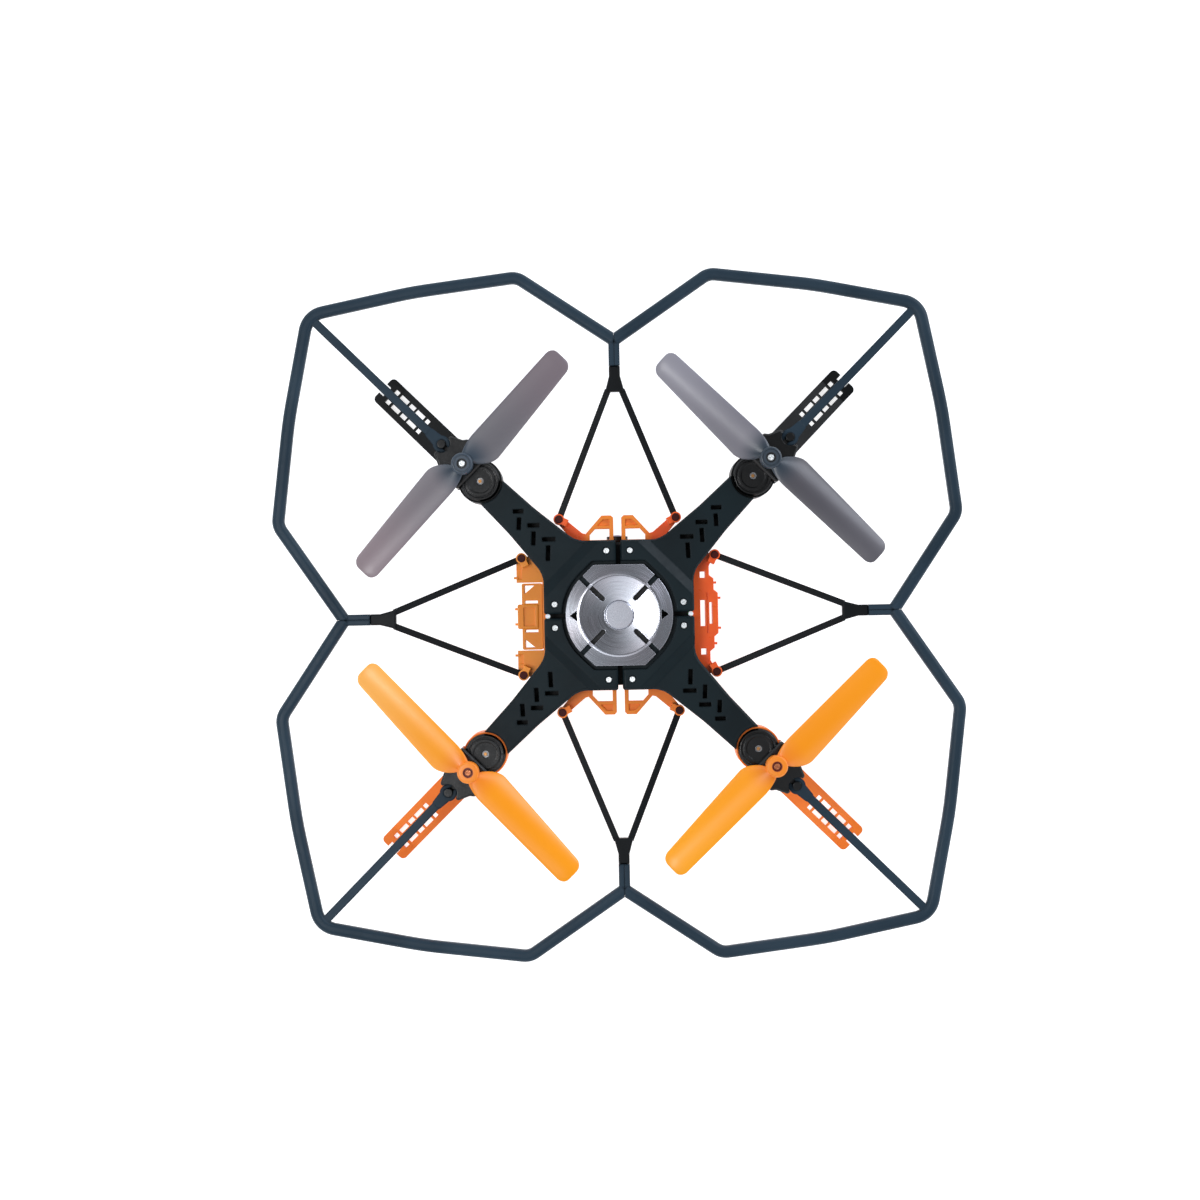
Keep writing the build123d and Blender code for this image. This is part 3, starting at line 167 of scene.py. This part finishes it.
def turnedMetal(name, look):
    # metal spun or turned on a lathe: fine rings round the middle, which spread each highlight into a fan
    material, tree, place = startMaterial(name)
    flat = addNode(tree, "ShaderNodeVectorMath", {"operation": "MULTIPLY", 1: (1, 1, 0)}, {0: place})
    radius = addNode(tree, "ShaderNodeVectorMath", {"operation": "LENGTH"}, {0: flat.outputs[0]})
    axes = addNode(tree, "ShaderNodeSeparateXYZ", links={0: place})
    angle = addNode(tree, "ShaderNodeMath", {"operation": "ARCTAN2"},
                    {0: axes.outputs[1], 1: axes.outputs[0]})
    ring = addNode(tree, "ShaderNodeMath", {"operation": "DIVIDE", 1: look["lineMm"] * mm},
                   {0: radius.outputs["Value"]})
    height = addNode(tree, "ShaderNodeMath", {"operation": "DIVIDE", 1: look["lineMm"] * mm},
                     {0: axes.outputs[2]})
    wound = addNode(tree, "ShaderNodeCombineXYZ",
                    links={0: ring.outputs[0], 1: angle.outputs[0], 2: height.outputs[0]})
    lines = addNode(tree, "ShaderNodeTexNoise", {"Scale": 1.0, "Detail": 3.0, "Roughness": 0.6},
                    {"Vector": wound.outputs[0]})
    cloud = addNode(tree, "ShaderNodeTexNoise", {"Scale": 1 / (look["cloudMm"] * mm), "Detail": 3.0},
                    {"Vector": place})
    lineAmount = addNode(tree, "ShaderNodeMapRange", noiseMiddle, {"Value": lines.outputs["Fac"]})
    cloudAmount = addNode(tree, "ShaderNodeMapRange", {"From Min": 0.4, "From Max": 0.7, "To Max": 0.5},
                          {"Value": cloud.outputs["Fac"]})
    body = addNode(tree, "ShaderNodeMix",
                   {"data_type": "RGBA", 6: toLinear(look["colour"]), 7: toLinear(look["shade"])},
                   {0: lineAmount.outputs[0]})
    colour = addNode(tree, "ShaderNodeMix", {"data_type": "RGBA", 7: toLinear(look["tint"])},
                     {0: cloudAmount.outputs[0], 6: body.outputs[2]})
    rough = addNode(tree, "ShaderNodeMapRange",
                    {**noiseWide, "To Min": look["roughness"] - 0.05, "To Max": look["roughness"] + 0.10},
                    {"Value": lines.outputs["Fac"]})
    rounded = addNode(tree, "ShaderNodeBevel", {"samples": 6, "Radius": look["cornerMm"] * mm})
    skin = addNode(tree, "ShaderNodeBump", {"Distance": look["lineDepthMm"] * mm, "Strength": 0.5},
                   {"Height": lines.outputs["Fac"], "Normal": rounded.outputs[0]})
    shader = addNode(tree, "ShaderNodeBsdfPrincipled", {"Metallic": 1.0, "Anisotropic": look["fan"]},
                     {"Base Color": colour.outputs[2], "Roughness": rough.outputs[0],
                      "Normal": skin.outputs[0]})
    addNode(tree, "ShaderNodeOutputMaterial", links={"Surface": shader.outputs[0]})
    return material


def coatedGlass(name, look):
    # a ground glass lens with a violet coating that shows towards its rim
    material, tree, place = startMaterial(name)
    facing = addNode(tree, "ShaderNodeLayerWeight", {"Blend": 0.35})
    colour = addNode(tree, "ShaderNodeMix",
                     {"data_type": "RGBA", 6: toLinear(look["colour"]), 7: toLinear(look["coating"])},
                     {0: facing.outputs["Facing"]})
    haze = addNode(tree, "ShaderNodeTexNoise", {"Scale": 1 / (look["hazeMm"] * mm), "Detail": 3.0},
                   {"Vector": place})
    rough = addNode(tree, "ShaderNodeMapRange", {"To Min": 0.02, "To Max": 0.10},
                    {"Value": haze.outputs["Fac"]})
    shader = addNode(tree, "ShaderNodeBsdfPrincipled",
                     {"IOR": 1.52, "Coat Weight": 1.0, "Coat Roughness": 0.02},
                     {"Base Color": colour.outputs[2], "Roughness": rough.outputs[0]})
    addNode(tree, "ShaderNodeOutputMaterial", links={"Surface": shader.outputs[0]})
    return material


def solderMask(name, look):
    # black lacquer over copper tracks, which stand up a little and show paler
    material, tree, place = startMaterial(name)
    tracks = addNode(tree, "ShaderNodeTexBrick",
                     {"Scale": 1 / (look["trackMm"] * mm), "Mortar Size": 0.06, "Brick Width": 2.4,
                      "Row Height": 1.0, "Color1": toLinear(look["colour"]),
                      "Color2": toLinear(look["shade"]), "Mortar": toLinear(look["track"])},
                     {"Vector": place})
    cloud = addNode(tree, "ShaderNodeTexNoise", {"Scale": 1 / (look["cloudMm"] * mm)}, {"Vector": place})
    rough = addNode(tree, "ShaderNodeMapRange", {"To Min": 0.28, "To Max": 0.45},
                    {"Value": cloud.outputs["Fac"]})
    skin = addNode(tree, "ShaderNodeBump", {"Distance": 0.03 * mm, "Strength": 0.5},
                   {"Height": tracks.outputs["Fac"]})
    shader = addNode(tree, "ShaderNodeBsdfPrincipled",
                     {"IOR": 1.55, "Coat Weight": 0.5, "Coat Roughness": 0.2},
                     {"Base Color": tracks.outputs["Color"], "Roughness": rough.outputs[0],
                      "Normal": skin.outputs[0]})
    addNode(tree, "ShaderNodeOutputMaterial", links={"Surface": shader.outputs[0]})
    return material


def bladePolycarbonate(name, look, centre, heading):
    # thin moulded polycarbonate: glossy, its tint deepest at the hub, and one blade painted a little paler,
    # a painted reflection of the key light
    material, tree, place = startMaterial(name)
    flow = addNode(tree, "ShaderNodeTexNoise", {"Scale": 1 / (bladeTint["flowMm"] * mm), "Detail": 3.0},
                   {"Vector": place})
    local = addNode(tree, "ShaderNodeVectorMath", {"operation": "SUBTRACT", 1: tuple(centre)}, {0: place})
    flat = addNode(tree, "ShaderNodeVectorMath", {"operation": "MULTIPLY", 1: (1, 1, 0)},
                   {0: local.outputs[0]})
    radius = addNode(tree, "ShaderNodeVectorMath", {"operation": "LENGTH"}, {0: flat.outputs[0]})
    reach = addNode(tree, "ShaderNodeMapRange",
                    {"interpolation_type": "SMOOTHSTEP", "From Min": bladeTint["innerMm"] * mm,
                     "From Max": bladeTint["outerMm"] * mm},
                    {"Value": radius.outputs["Value"]})
    # painted reflection: the blade on the far side of the heading takes the paler colours
    along = addNode(tree, "ShaderNodeVectorMath",
                    {"operation": "DOT_PRODUCT", 1: (math.cos(heading), math.sin(heading), 0)},
                    {0: flat.outputs[0]})
    blade = addNode(tree, "ShaderNodeMapRange",
                    {"From Min": bladeTint["changeMm"] * mm, "From Max": -bladeTint["changeMm"] * mm},
                    {"Value": along.outputs["Value"]})
    near = addNode(tree, "ShaderNodeMix",
                   {"data_type": "RGBA", 6: toLinear(look["inner"]), 7: toLinear(look["outer"])},
                   {0: reach.outputs[0]})
    far = addNode(tree, "ShaderNodeMix",
                  {"data_type": "RGBA", 6: toLinear(look["innerPaintedSheen"]), 7: toLinear(look["outerPaintedSheen"])},
                  {0: reach.outputs[0]})
    both = addNode(tree, "ShaderNodeMix", {"data_type": "RGBA"},
                   {0: blade.outputs[0], 6: near.outputs[2], 7: far.outputs[2]})
    root = addNode(tree, "ShaderNodeMapRange",
                   {"interpolation_type": "SMOOTHSTEP", "From Min": bladeTint["hubMm"] * mm,
                    "From Max": bladeTint["rootMm"] * mm, "To Min": 1.0, "To Max": 0.0},
                   {"Value": radius.outputs["Value"]})
    rooted = addNode(tree, "ShaderNodeMix", {"data_type": "RGBA", 7: toLinear(look["root"])},
                     {0: root.outputs[0], 6: both.outputs[2]})
    # painted shade: the recess of the screw's seat in the hub is painted darker
    seat = addNode(tree, "ShaderNodeMapRange",
                   {"From Min": bladeTint["seatEndMm"] * mm, "From Max": bladeTint["seatMm"] * mm},
                   {"Value": radius.outputs["Value"]})
    colour = addNode(tree, "ShaderNodeMix", {"data_type": "RGBA", 7: toLinear(look["seat"])},
                     {0: seat.outputs[0], 6: rooted.outputs[2]})
    rough = addNode(tree, "ShaderNodeMapRange", {"To Min": 0.30, "To Max": 0.42},
                    {"Value": flow.outputs["Fac"]})
    skin = addNode(tree, "ShaderNodeBump", {"Distance": 0.02 * mm, "Strength": 0.2},
                   {"Height": flow.outputs["Fac"]})
    shader = addNode(tree, "ShaderNodeBsdfPrincipled",
                     {"IOR": 1.58, "Specular IOR Level": 0.35, "Coat Weight": look["coat"],
                      "Coat Roughness": 0.2},
                     {"Base Color": colour.outputs[2], "Roughness": rough.outputs[0],
                      "Normal": skin.outputs[0]})
    addNode(tree, "ShaderNodeOutputMaterial", links={"Surface": shader.outputs[0]})
    return material


# ABS and nylon mouldings; the grain is drawn coarser than the real 0.05 mm so that it shows
plastic = dict(driftMm=24, scuffMm=5, grainMm=0.45, grainDepthMm=0.02, cornerMm=0.5, cornerWearAndShadeAmount=0.5, ior=1.53,
               gloss=0.15, roughness=0.42, glow=0.0, coat=0.0)
plasticLooks = {
    "shellAbs": dict(plastic, colour="#0D1D22", shade="#08151A", cornerWearAndShade="#050B0E", cornerWearAndShadeAmount=0.8, driftMm=30,
                     cornerMm=0.8),  # satin blue-black, with painted shade darkening the corners where the rims turn down
    "legNylon": dict(plastic, colour="#0A0E10", shade="#050708", cornerWearAndShade="#1E2428"),  # glass-filled, black
    "guardNylon": dict(plastic, colour="#2B3C49", shade="#20303C", cornerWearAndShade="#111C24", driftMm=45, cornerWearAndShadeAmount=0.7,
                       cornerMm=1.0),  # round tube; painted shade darkens its edges, so it looks greyer along its crown
    "forkNylon": dict(plastic, colour="#0C1115", shade="#070A0D", cornerWearAndShade="#1E2830"),
    # the rear legs carry painted shade: near-black within 74 mm of the middle, under the arm shells
    "orangeNylon": dict(plastic, colour="#FA8230", shade="#F07428", cornerWearAndShade="#FFA468", paintedShadeFloor="#0A0C0D",
                        paintedShadeFloorMm=74),
    "hullAbs": dict(plastic, colour="#FF641E", shade="#F45418", cornerWearAndShade="#FF9450", roughness=0.3, gloss=0.35,
                    # painted light: the hull's left, rear and middle are painted paler
                    paintedLight=dict(colour="#FF9A2C", middleEndMm=16, middleFullMm=12, middleShare=0.7,
                              leftEndMm=-30, leftFullMm=-35, rearEndMm=-22, rearFullMm=-36,
                              rearShare=0.55)),
    "batteryAbs": dict(plastic, colour="#FF9B2A", shade="#FA9022", cornerWearAndShade="#FFC27C", roughness=0.32,
                       gloss=0.35),
    "coverNylon": dict(plastic, colour="#050607", shade="#020303", cornerWearAndShade="#20262A", roughness=0.2,
                       gloss=0.4, driftMm=9, cornerWearAndShadeAmount=0.25),
    "cameraAbs": dict(plastic, colour="#15191C", shade="#0D1012", cornerWearAndShade="#3A4045", roughness=0.32,
                      driftMm=8),
    "pinNylon": dict(plastic, colour="#4A0F0A", shade="#330805", cornerWearAndShade="#7A2A1C", driftMm=4, cornerMm=0.2),
    "gearAcetal": dict(plastic, colour="#E9E5D8", shade="#D9D4C5", cornerWearAndShade="#F6F3EA", grainDepthMm=0.006,
                       driftMm=5, cornerMm=0.1, roughness=0.3, glow=0.15, ior=1.48),  # waxy off-white
    "leadSilicone": dict(plastic, colour="#16181A", shade="#0C0D0E", cornerWearAndShade="#2A2D30", roughness=0.55,
                         ior=1.41),
    "clearAcrylic": dict(plastic, colour="#F0F5F8", shade="#DDE6EC", cornerWearAndShade="#FFFFFF", roughness=0.12,
                         coat=0.6, glow=0.2, ior=1.49, cornerMm=0.2),
}

metal = dict(lineMm=0.35, lineDepthMm=0.006, cloudMm=5, cornerMm=0.2, roughness=0.26, fan=0.4)
metalLooks = {
    "spunAluminium": dict(metal, colour="#D2D6DE", shade="#BABEC8", tint="#C6BEC6", cloudMm=16,
                          cornerMm=0.3, fan=0.0, roughness=0.22),
    "nickelSteel": dict(metal, colour="#B9BABD", shade="#97989C", tint="#A9A49C"),
    "zincSteel": dict(metal, colour="#FAFCFC", shade="#E6EAEA", tint="#E0E8EA", cloudMm=2, roughness=0.4),
    "copperSteel": dict(metal, colour="#D08A62", shade="#B46A48", tint="#C27C58", cloudMm=2,
                        roughness=0.35),
    "hobbedBrass": dict(metal, colour="#C8955A", shade="#A87440", tint="#B98560", cloudMm=2),
    "foilPouch": dict(metal, colour="#B8BABC", shade="#9A9C9F", tint="#A8ABB2", lineMm=2.5,
                      lineDepthMm=0.05),
}

# how far from the shaft the blades' tints change, and the pitch of the flow marks
bladeTint = dict(innerMm=14, outerMm=62, changeMm=8, hubMm=4.6, rootMm=16, seatMm=2.1, seatEndMm=2.5,
                 flowMm=5)
# the front pair is tinted smoke and the rear pair is orange
# in each look the second pair of blade colours paints one blade paler, a painted reflection of the key
# light, and the seat colour is painted shade in the hub's screw seat
bladeLooks = {
    "front_right": dict(inner="#4F4D53", outer="#5C5A60", innerPaintedSheen="#7A7880", outerPaintedSheen="#8E8C95",
                        root="#2E3A45", seat="#161C22", coat=0.15),
    "front_left": dict(inner="#6A686D", outer="#786D73", innerPaintedSheen="#777277", outerPaintedSheen="#8C7E83",
                       root="#364350", seat="#161C22", coat=0.1),
    "rear_left": dict(inner="#FA980A", outer="#FC9C0A", innerPaintedSheen="#FDA022", outerPaintedSheen="#FFB454",
                      root="#F48A20", seat="#8A2A12", coat=0.1),
    "rear_right": dict(inner="#FA960A", outer="#FC9A0E", innerPaintedSheen="#FE9E0C", outerPaintedSheen="#FFA618",
                       root="#F48A20", seat="#8A2A12", coat=0.05),
}

finishes = {name: mouldedPlastic(name, look) for name, look in plasticLooks.items()}
finishes.update({name: turnedMetal(name, look) for name, look in metalLooks.items()})
finishes["coatedGlass"] = coatedGlass("coatedGlass", dict(colour="#0B1016", coating="#4A2E7A", hazeMm=2))
finishes["solderMask"] = solderMask("solderMask", dict(colour="#060A08", shade="#040605", track="#0C1610",
                                                       trackMm=1.2, cloudMm=3))
# how far each propeller is turned at rest, in degrees, and which way its darker blade then points; the
# other blade carries the painted reflection
propellerTurn = {"front_right": 46.4, "front_left": 316.6, "rear_left": 223.9, "rear_right": 133.5}
darkerBlade = {"front_right": -90, "front_left": 90, "rear_left": 90, "rear_right": -90}
for q, look in bladeLooks.items():
    finishes["blade_" + q] = bladePolycarbonate("bladePolycarbonate_" + q, look, rotorCentre[q],
                                                math.radians(propellerTurn[q] + darkerBlade[q]))
print("materials made:", len(finishes))

nodeFinish = {
    "lower_hull": "hullAbs", "centre_deck": "legNylon", "centre_cap": "spunAluminium",
    "main_board": "solderMask", "battery_case": "batteryAbs", "battery_cell": "foilPouch",
    "camera_bracket": "legNylon",
    "camera_body": "cameraAbs", "camera_lens": "coatedGlass", "power_switch": "cameraAbs",
    "shell_screws": "zincSteel", "shaft_bearings": "nickelSteel", "guard_pins": "pinNylon",
    "status_lights": "clearAcrylic", "motor_leads": "leadSilicone", "motor_caps": "coverNylon",
}
for q in quadrants:
    nodeFinish["leg_" + q] = "legNylon" if q.startswith("front") else "orangeNylon"
    for kind, finish in (("arm_shell_", "shellAbs"), ("shaft_cover_", "coverNylon"),
                         ("motor_", "nickelSteel"), ("pinion_", "hobbedBrass"),
                         ("spur_gear_", "gearAcetal"), ("prop_shaft_", "nickelSteel"),
                         ("guard_hoop_", "guardNylon")):
        nodeFinish[kind + q] = finish
    nodeFinish["prop_screw_" + q] = "zincSteel" if q.startswith("front") else "copperSteel"
for side in sides:
    nodeFinish["guard_fork_" + side] = "forkNylon"
for name, finish in nodeFinish.items():
    mesh = nodes[name].data
    mesh.materials.clear()
    mesh.materials.append(finishes[finish])
print("CAD nodes finished:", len(nodeFinish))

# millimetres and degrees; straight and bulge are the blade's reach to each side of its own line
propellerLook = dict(
    tip=64.5, straight=5.5, rootBulge=10.2, tipBulge=6.6, rootEnd=13.0, rootStart=3.4, tipRound=4.0,
    thickness=1.3, rootFull=1.15, thinning=0.45, rootPitch=17.0, tipPitch=8.0, camber=0.045,
    neck=3.4, neckThickness=2.8, neckGrowth=0.8, tipStraight=3.4, tipBulgeCut=3.8, tipThinning=0.5,
    edgeThin=0.75, middleFull=0.55, loopSteps=20, rootRings=10, bladeRings=24, tipRings=8, lift=3.4,
    hub=4.8, hubSteps=72, seat=2.1, seatDepth=1.2, bore=1.0,
    grooveOuter=3.85, grooveInner=3.3, grooveDepth=0.3, grooveSlope=0.1, sharpEdge=38)


def bladeRing(reach):
    # closed loop of points round the blade at a distance from the shaft, across the blade and up
    look = propellerLook
    along = max((reach - look["rootEnd"]) / (look["tip"] - look["rootEnd"]), 0.0)
    straight = look["straight"]
    bulge = look["rootBulge"] + (look["tipBulge"] - look["rootBulge"]) * along
    thick = look["thickness"] * (look["rootFull"] - look["thinning"] * along)
    if reach < look["rootEnd"]:
        # the root grows out of the hub's round neck
        share = (reach - look["rootStart"]) / (look["rootEnd"] - look["rootStart"])
        grown = math.sin(share * math.pi / 2) ** look["neckGrowth"]
        bulge = look["neck"] + (look["rootBulge"] - look["neck"]) * grown
        straight = look["neck"] + (look["straight"] - look["neck"]) * grown
        rootThick = look["thickness"] * look["rootFull"]
        thick = look["neckThickness"] + (rootThick - look["neckThickness"]) * grown
    nearTip = (reach - look["tip"] + look["tipRound"]) / look["tipRound"]
    if nearTip > 0:
        # the tip's corners are rounded off
        pull = 1 - math.sqrt(max(1 - nearTip * nearTip, 0.0))
        straight -= look["tipStraight"] * pull
        bulge -= look["tipBulgeCut"] * pull
        thick *= 1 - look["tipThinning"] * nearTip
    pitch = math.radians(look["rootPitch"] + (look["tipPitch"] - look["rootPitch"]) * along)
    chord = straight + bulge
    ring = []
    for step in range(look["loopSteps"]):
        # the loop runs along the top, then back underneath, close together at both edges
        turn = 2 * math.pi * step / look["loopSteps"]
        share = (1 - math.cos(turn)) / 2
        across = straight - chord * share
        arch = look["camber"] * chord * 4 * share * (1 - share)
        fullness = look["edgeThin"] + look["middleFull"] * math.sin(turn) ** 2
        up = arch + thick * 0.5 * math.sin(turn) * fullness
        ring.append((across * math.cos(pitch) - up * math.sin(pitch),
                     across * math.sin(pitch) + up * math.cos(pitch)))
    return ring


def spinProfile(bm, profile, steps):
    # closed solid from (radius, height) points turned about the vertical axis
    rows = []
    for step in range(steps):
        turn = 2 * math.pi * step / steps
        rows.append([bm.verts.new((r * math.cos(turn) * mm, r * math.sin(turn) * mm, z * mm))
                     for r, z in profile])
    for step in range(steps):
        near, far = rows[step], rows[(step + 1) % steps]
        for k in range(len(profile)):
            bm.faces.new((near[k], far[k], far[k - 1], near[k - 1]))


def meshObject(name, bm):
    bmesh.ops.recalc_face_normals(bm, faces=bm.faces)
    mesh = bpy.data.meshes.new(name)
    bm.to_mesh(mesh)
    bm.free()
    piece = bpy.data.objects.new(name, mesh)
    scene.collection.objects.link(piece)
    return piece


def applyModifiers(piece):
    graph = bpy.context.evaluated_depsgraph_get()
    mesh = bpy.data.meshes.new_from_object(piece.evaluated_get(graph))
    piece.modifiers.clear()
    piece.data = mesh


def makeBlades(q, base):
    look = propellerLook
    rootLength = look["rootEnd"] - look["rootStart"]
    bladeLength = look["tip"] - look["tipRound"] - look["rootEnd"]
    reaches = [look["rootStart"] + rootLength * k / look["rootRings"] for k in range(look["rootRings"])]
    reaches += [look["rootEnd"] + bladeLength * k / look["bladeRings"]
                for k in range(look["bladeRings"] + 1)]
    reaches += [look["tip"] - look["tipRound"] * (1 - math.sin(math.pi / 2 * k / look["tipRings"]))
                for k in range(1, look["tipRings"] + 1)]
    bm = bmesh.new()
    for flip in (1, -1):
        rings = []
        for reach in reaches:
            rings.append([bm.verts.new((x * flip * mm, reach * flip * mm, (base + look["lift"] + z) * mm))
                          for x, z in bladeRing(reach)])
        for near, far in zip(rings, rings[1:]):
            for k in range(len(near)):
                bm.faces.new((near[k - 1], near[k], far[k], far[k - 1]))
        bm.faces.new(rings[0])
        bm.faces.new(list(reversed(rings[-1])))
    return meshObject("blades_" + q, bm)


def makeHub(q, base, top):
    # rounded rim, a groove round the front hubs only, and the screw's seat
    look = propellerLook
    hub, seat, bore = look["hub"], look["seat"], look["bore"]
    rim = [(bore, base), (hub - 0.4, base), (hub, base + 0.4), (hub, top - 0.9), (hub - 0.15, top - 0.4),
           (hub - 0.6, top - 0.05), (hub - 0.9, top)]
    groove = []
    if q.startswith("front"):
        outer, inner, slope = look["grooveOuter"], look["grooveInner"], look["grooveSlope"]
        low = top - look["grooveDepth"]
        groove = [(outer, top), (outer - slope, low), (inner + slope, low), (inner, top)]
    seatFloor = top - look["seatDepth"]
    seatEdge = [(seat + 0.1, top), (seat, top - 0.1), (seat, seatFloor), (bore, seatFloor)]
    bm = bmesh.new()
    spinProfile(bm, rim + groove + seatEdge, look["hubSteps"])
    return meshObject("hub_" + q, bm)


def makePropeller(q):
    low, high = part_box("propeller_" + q)
    blades = makeBlades(q, low.z / mm)
    hub = makeHub(q, low.z / mm, high.z / mm)
    join = blades.modifiers.new("join", "BOOLEAN")
    join.operation = "UNION"
    join.solver = "EXACT"
    join.object = hub
    applyModifiers(blades)
    bpy.data.objects.remove(hub)
    # left-handed propellers turn the other way
    leftHanded = q in ("front_left", "rear_right")
    place = Matrix.Translation((rotorCentre[q].x, rotorCentre[q].y, 0))
    place = place @ Matrix.Rotation(math.radians(propellerTurn[q]), 4, "Z")
    if leftHanded:
        place = place @ Matrix.Diagonal((-1, 1, 1, 1))
    blades.data.transform(place)
    if leftHanded:
        blades.data.flip_normals()
    for face in blades.data.polygons:
        face.use_smooth = True
    blades.data.set_sharp_from_angle(angle=math.radians(propellerLook["sharpEdge"]))
    blades.data.materials.clear()
    blades.data.materials.append(finishes["blade_" + q])
    blades.name = "propellerBlades_" + q
    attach(blades, "rotor_" + q)
    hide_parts("propeller_" + q)


for q in quadrants:
    makePropeller(q)
print("propellers made:", len(quadrants))

stageLook = dict(floor="#D0D2D4", cloud="#C8CBCE", cloudMm=200, size=6.0, glow=0.78)
# the room is bright low down and dim overhead, but for a panel that brightens to the left
lightLook = dict(room="#F2F5FA", roomLow=1.45, overheadDark=0.12, overheadBright=1.25, aroundPanel=0.22,
                 leftward=(-0.87, -0.5, 0.0), leftSpread=0.25,
                 ceilingEdge=(0.38, 0.66), panelEdge=(0.84, 0.92),  # as heights on a dome of radius 1
                 key=dict(place=(-0.44, -0.06, 1.15), size=0.4, power=4.0, colour="#FFFFFF"),
                 fill=dict(place=(1.3, 0.9, 0.9), size=1.0, power=13.0, colour="#EEF3FF"))
# millimetres and degrees; the frame is as wide as frameWidth at the guard's level
cameraLook = dict(x=-8.39, y=6.79, guardLevel=44.0, distance=1100.0, frameWidth=532.8, roll=-1.15,
                  sensor=36.0, clipStart=10.0)


def makeFloor():
    # matt board that glows a little, as a lit table does, so that shadows stay faint
    half = stageLook["size"] / 2
    mesh = bpy.data.meshes.new("floor")
    corners = [(-half, -half, 0), (half, -half, 0), (half, half, 0), (-half, half, 0)]
    mesh.from_pydata(corners, [], [(0, 1, 2, 3)])
    floor = bpy.data.objects.new("floor", mesh)
    scene.collection.objects.link(floor)
    material, tree, place = startMaterial("mattBoard")
    cloud = addNode(tree, "ShaderNodeTexNoise", {"Scale": 1 / (stageLook["cloudMm"] * mm)},
                    {"Vector": place})
    colour = addNode(tree, "ShaderNodeMix",
                     {"data_type": "RGBA", 6: toLinear(stageLook["floor"]),
                      7: toLinear(stageLook["cloud"])},
                     {0: cloud.outputs["Fac"]})
    shader = addNode(tree, "ShaderNodeBsdfPrincipled",
                     {"Roughness": 0.9, "Specular IOR Level": 0.2, "Emission Color": toLinear("#FFFFFF"),
                      "Emission Strength": stageLook["glow"]}, {"Base Color": colour.outputs[2]})
    addNode(tree, "ShaderNodeOutputMaterial", links={"Surface": shader.outputs[0]})
    mesh.materials.append(material)


def makeWorld():
    world = bpy.data.worlds.new("softRoom")
    world.use_nodes = True
    tree = world.node_tree
    tree.nodes.clear()
    direction = addNode(tree, "ShaderNodeTexCoord").outputs["Generated"]
    axes = addNode(tree, "ShaderNodeSeparateXYZ", links={0: direction})
    overhead = addNode(tree, "ShaderNodeMapRange",
                       {"interpolation_type": "SMOOTHSTEP", "From Min": lightLook["ceilingEdge"][0],
                        "From Max": lightLook["ceilingEdge"][1]},
                       {"Value": axes.outputs[2]})
    left = addNode(tree, "ShaderNodeVectorMath", {"operation": "DOT_PRODUCT", 1: lightLook["leftward"]},
                   {0: direction})
    rise = addNode(tree, "ShaderNodeMapRange",
                   {"interpolation_type": "SMOOTHSTEP", "From Min": -lightLook["leftSpread"],
                    "From Max": lightLook["leftSpread"],
                    "To Min": lightLook["overheadDark"], "To Max": lightLook["overheadBright"]},
                   {"Value": left.outputs["Value"]})
    panel = addNode(tree, "ShaderNodeMapRange",
                    {"interpolation_type": "SMOOTHSTEP", "From Min": lightLook["panelEdge"][0],
                     "From Max": lightLook["panelEdge"][1]},
                    {"Value": axes.outputs[2]})
    ceiling = addNode(tree, "ShaderNodeMix", {"data_type": "FLOAT", 2: lightLook["aroundPanel"]},
                      {0: panel.outputs[0], 3: rise.outputs[0]})
    strength = addNode(tree, "ShaderNodeMix", {"data_type": "FLOAT", 2: lightLook["roomLow"]},
                       {0: overhead.outputs[0], 3: ceiling.outputs[0]})
    room = addNode(tree, "ShaderNodeBackground", {"Color": toLinear(lightLook["room"])},
                   {"Strength": strength.outputs[0]})
    addNode(tree, "ShaderNodeOutputWorld", links={"Surface": room.outputs[0]})
    scene.world = world


def makeLamp(name, look):
    light = bpy.data.lights.new(name, "AREA")
    light.shape = "DISK"
    light.size = look["size"]
    light.energy = look["power"]
    light.color = toLinear(look["colour"])[:3]
    lamp = bpy.data.objects.new(name, light)
    scene.collection.objects.link(lamp)
    lamp.location = look["place"]
    lamp.rotation_euler = (-Vector(look["place"])).to_track_quat("-Z", "Y").to_euler()
    lamp.visible_camera = False


def makeCamera():
    # straight down over the guard's level
    lens = bpy.data.cameras.new("camera")
    lens.sensor_width = cameraLook["sensor"]
    lens.lens = lens.sensor_width * cameraLook["distance"] / cameraLook["frameWidth"]
    lens.clip_start = cameraLook["clipStart"] * mm
    camera = bpy.data.objects.new("camera", lens)
    scene.collection.objects.link(camera)
    height = cameraLook["guardLevel"] + cameraLook["distance"]
    camera.location = Vector((cameraLook["x"], cameraLook["y"], height)) * mm
    camera.rotation_euler = (0, 0, math.radians(cameraLook["roll"]))
    scene.camera = camera


makeFloor()
makeWorld()
makeLamp("keyLamp", lightLook["key"])
makeLamp("fillLamp", lightLook["fill"])
makeCamera()
scene.view_settings.view_transform = "Standard"
print("floor, lamps and camera made")
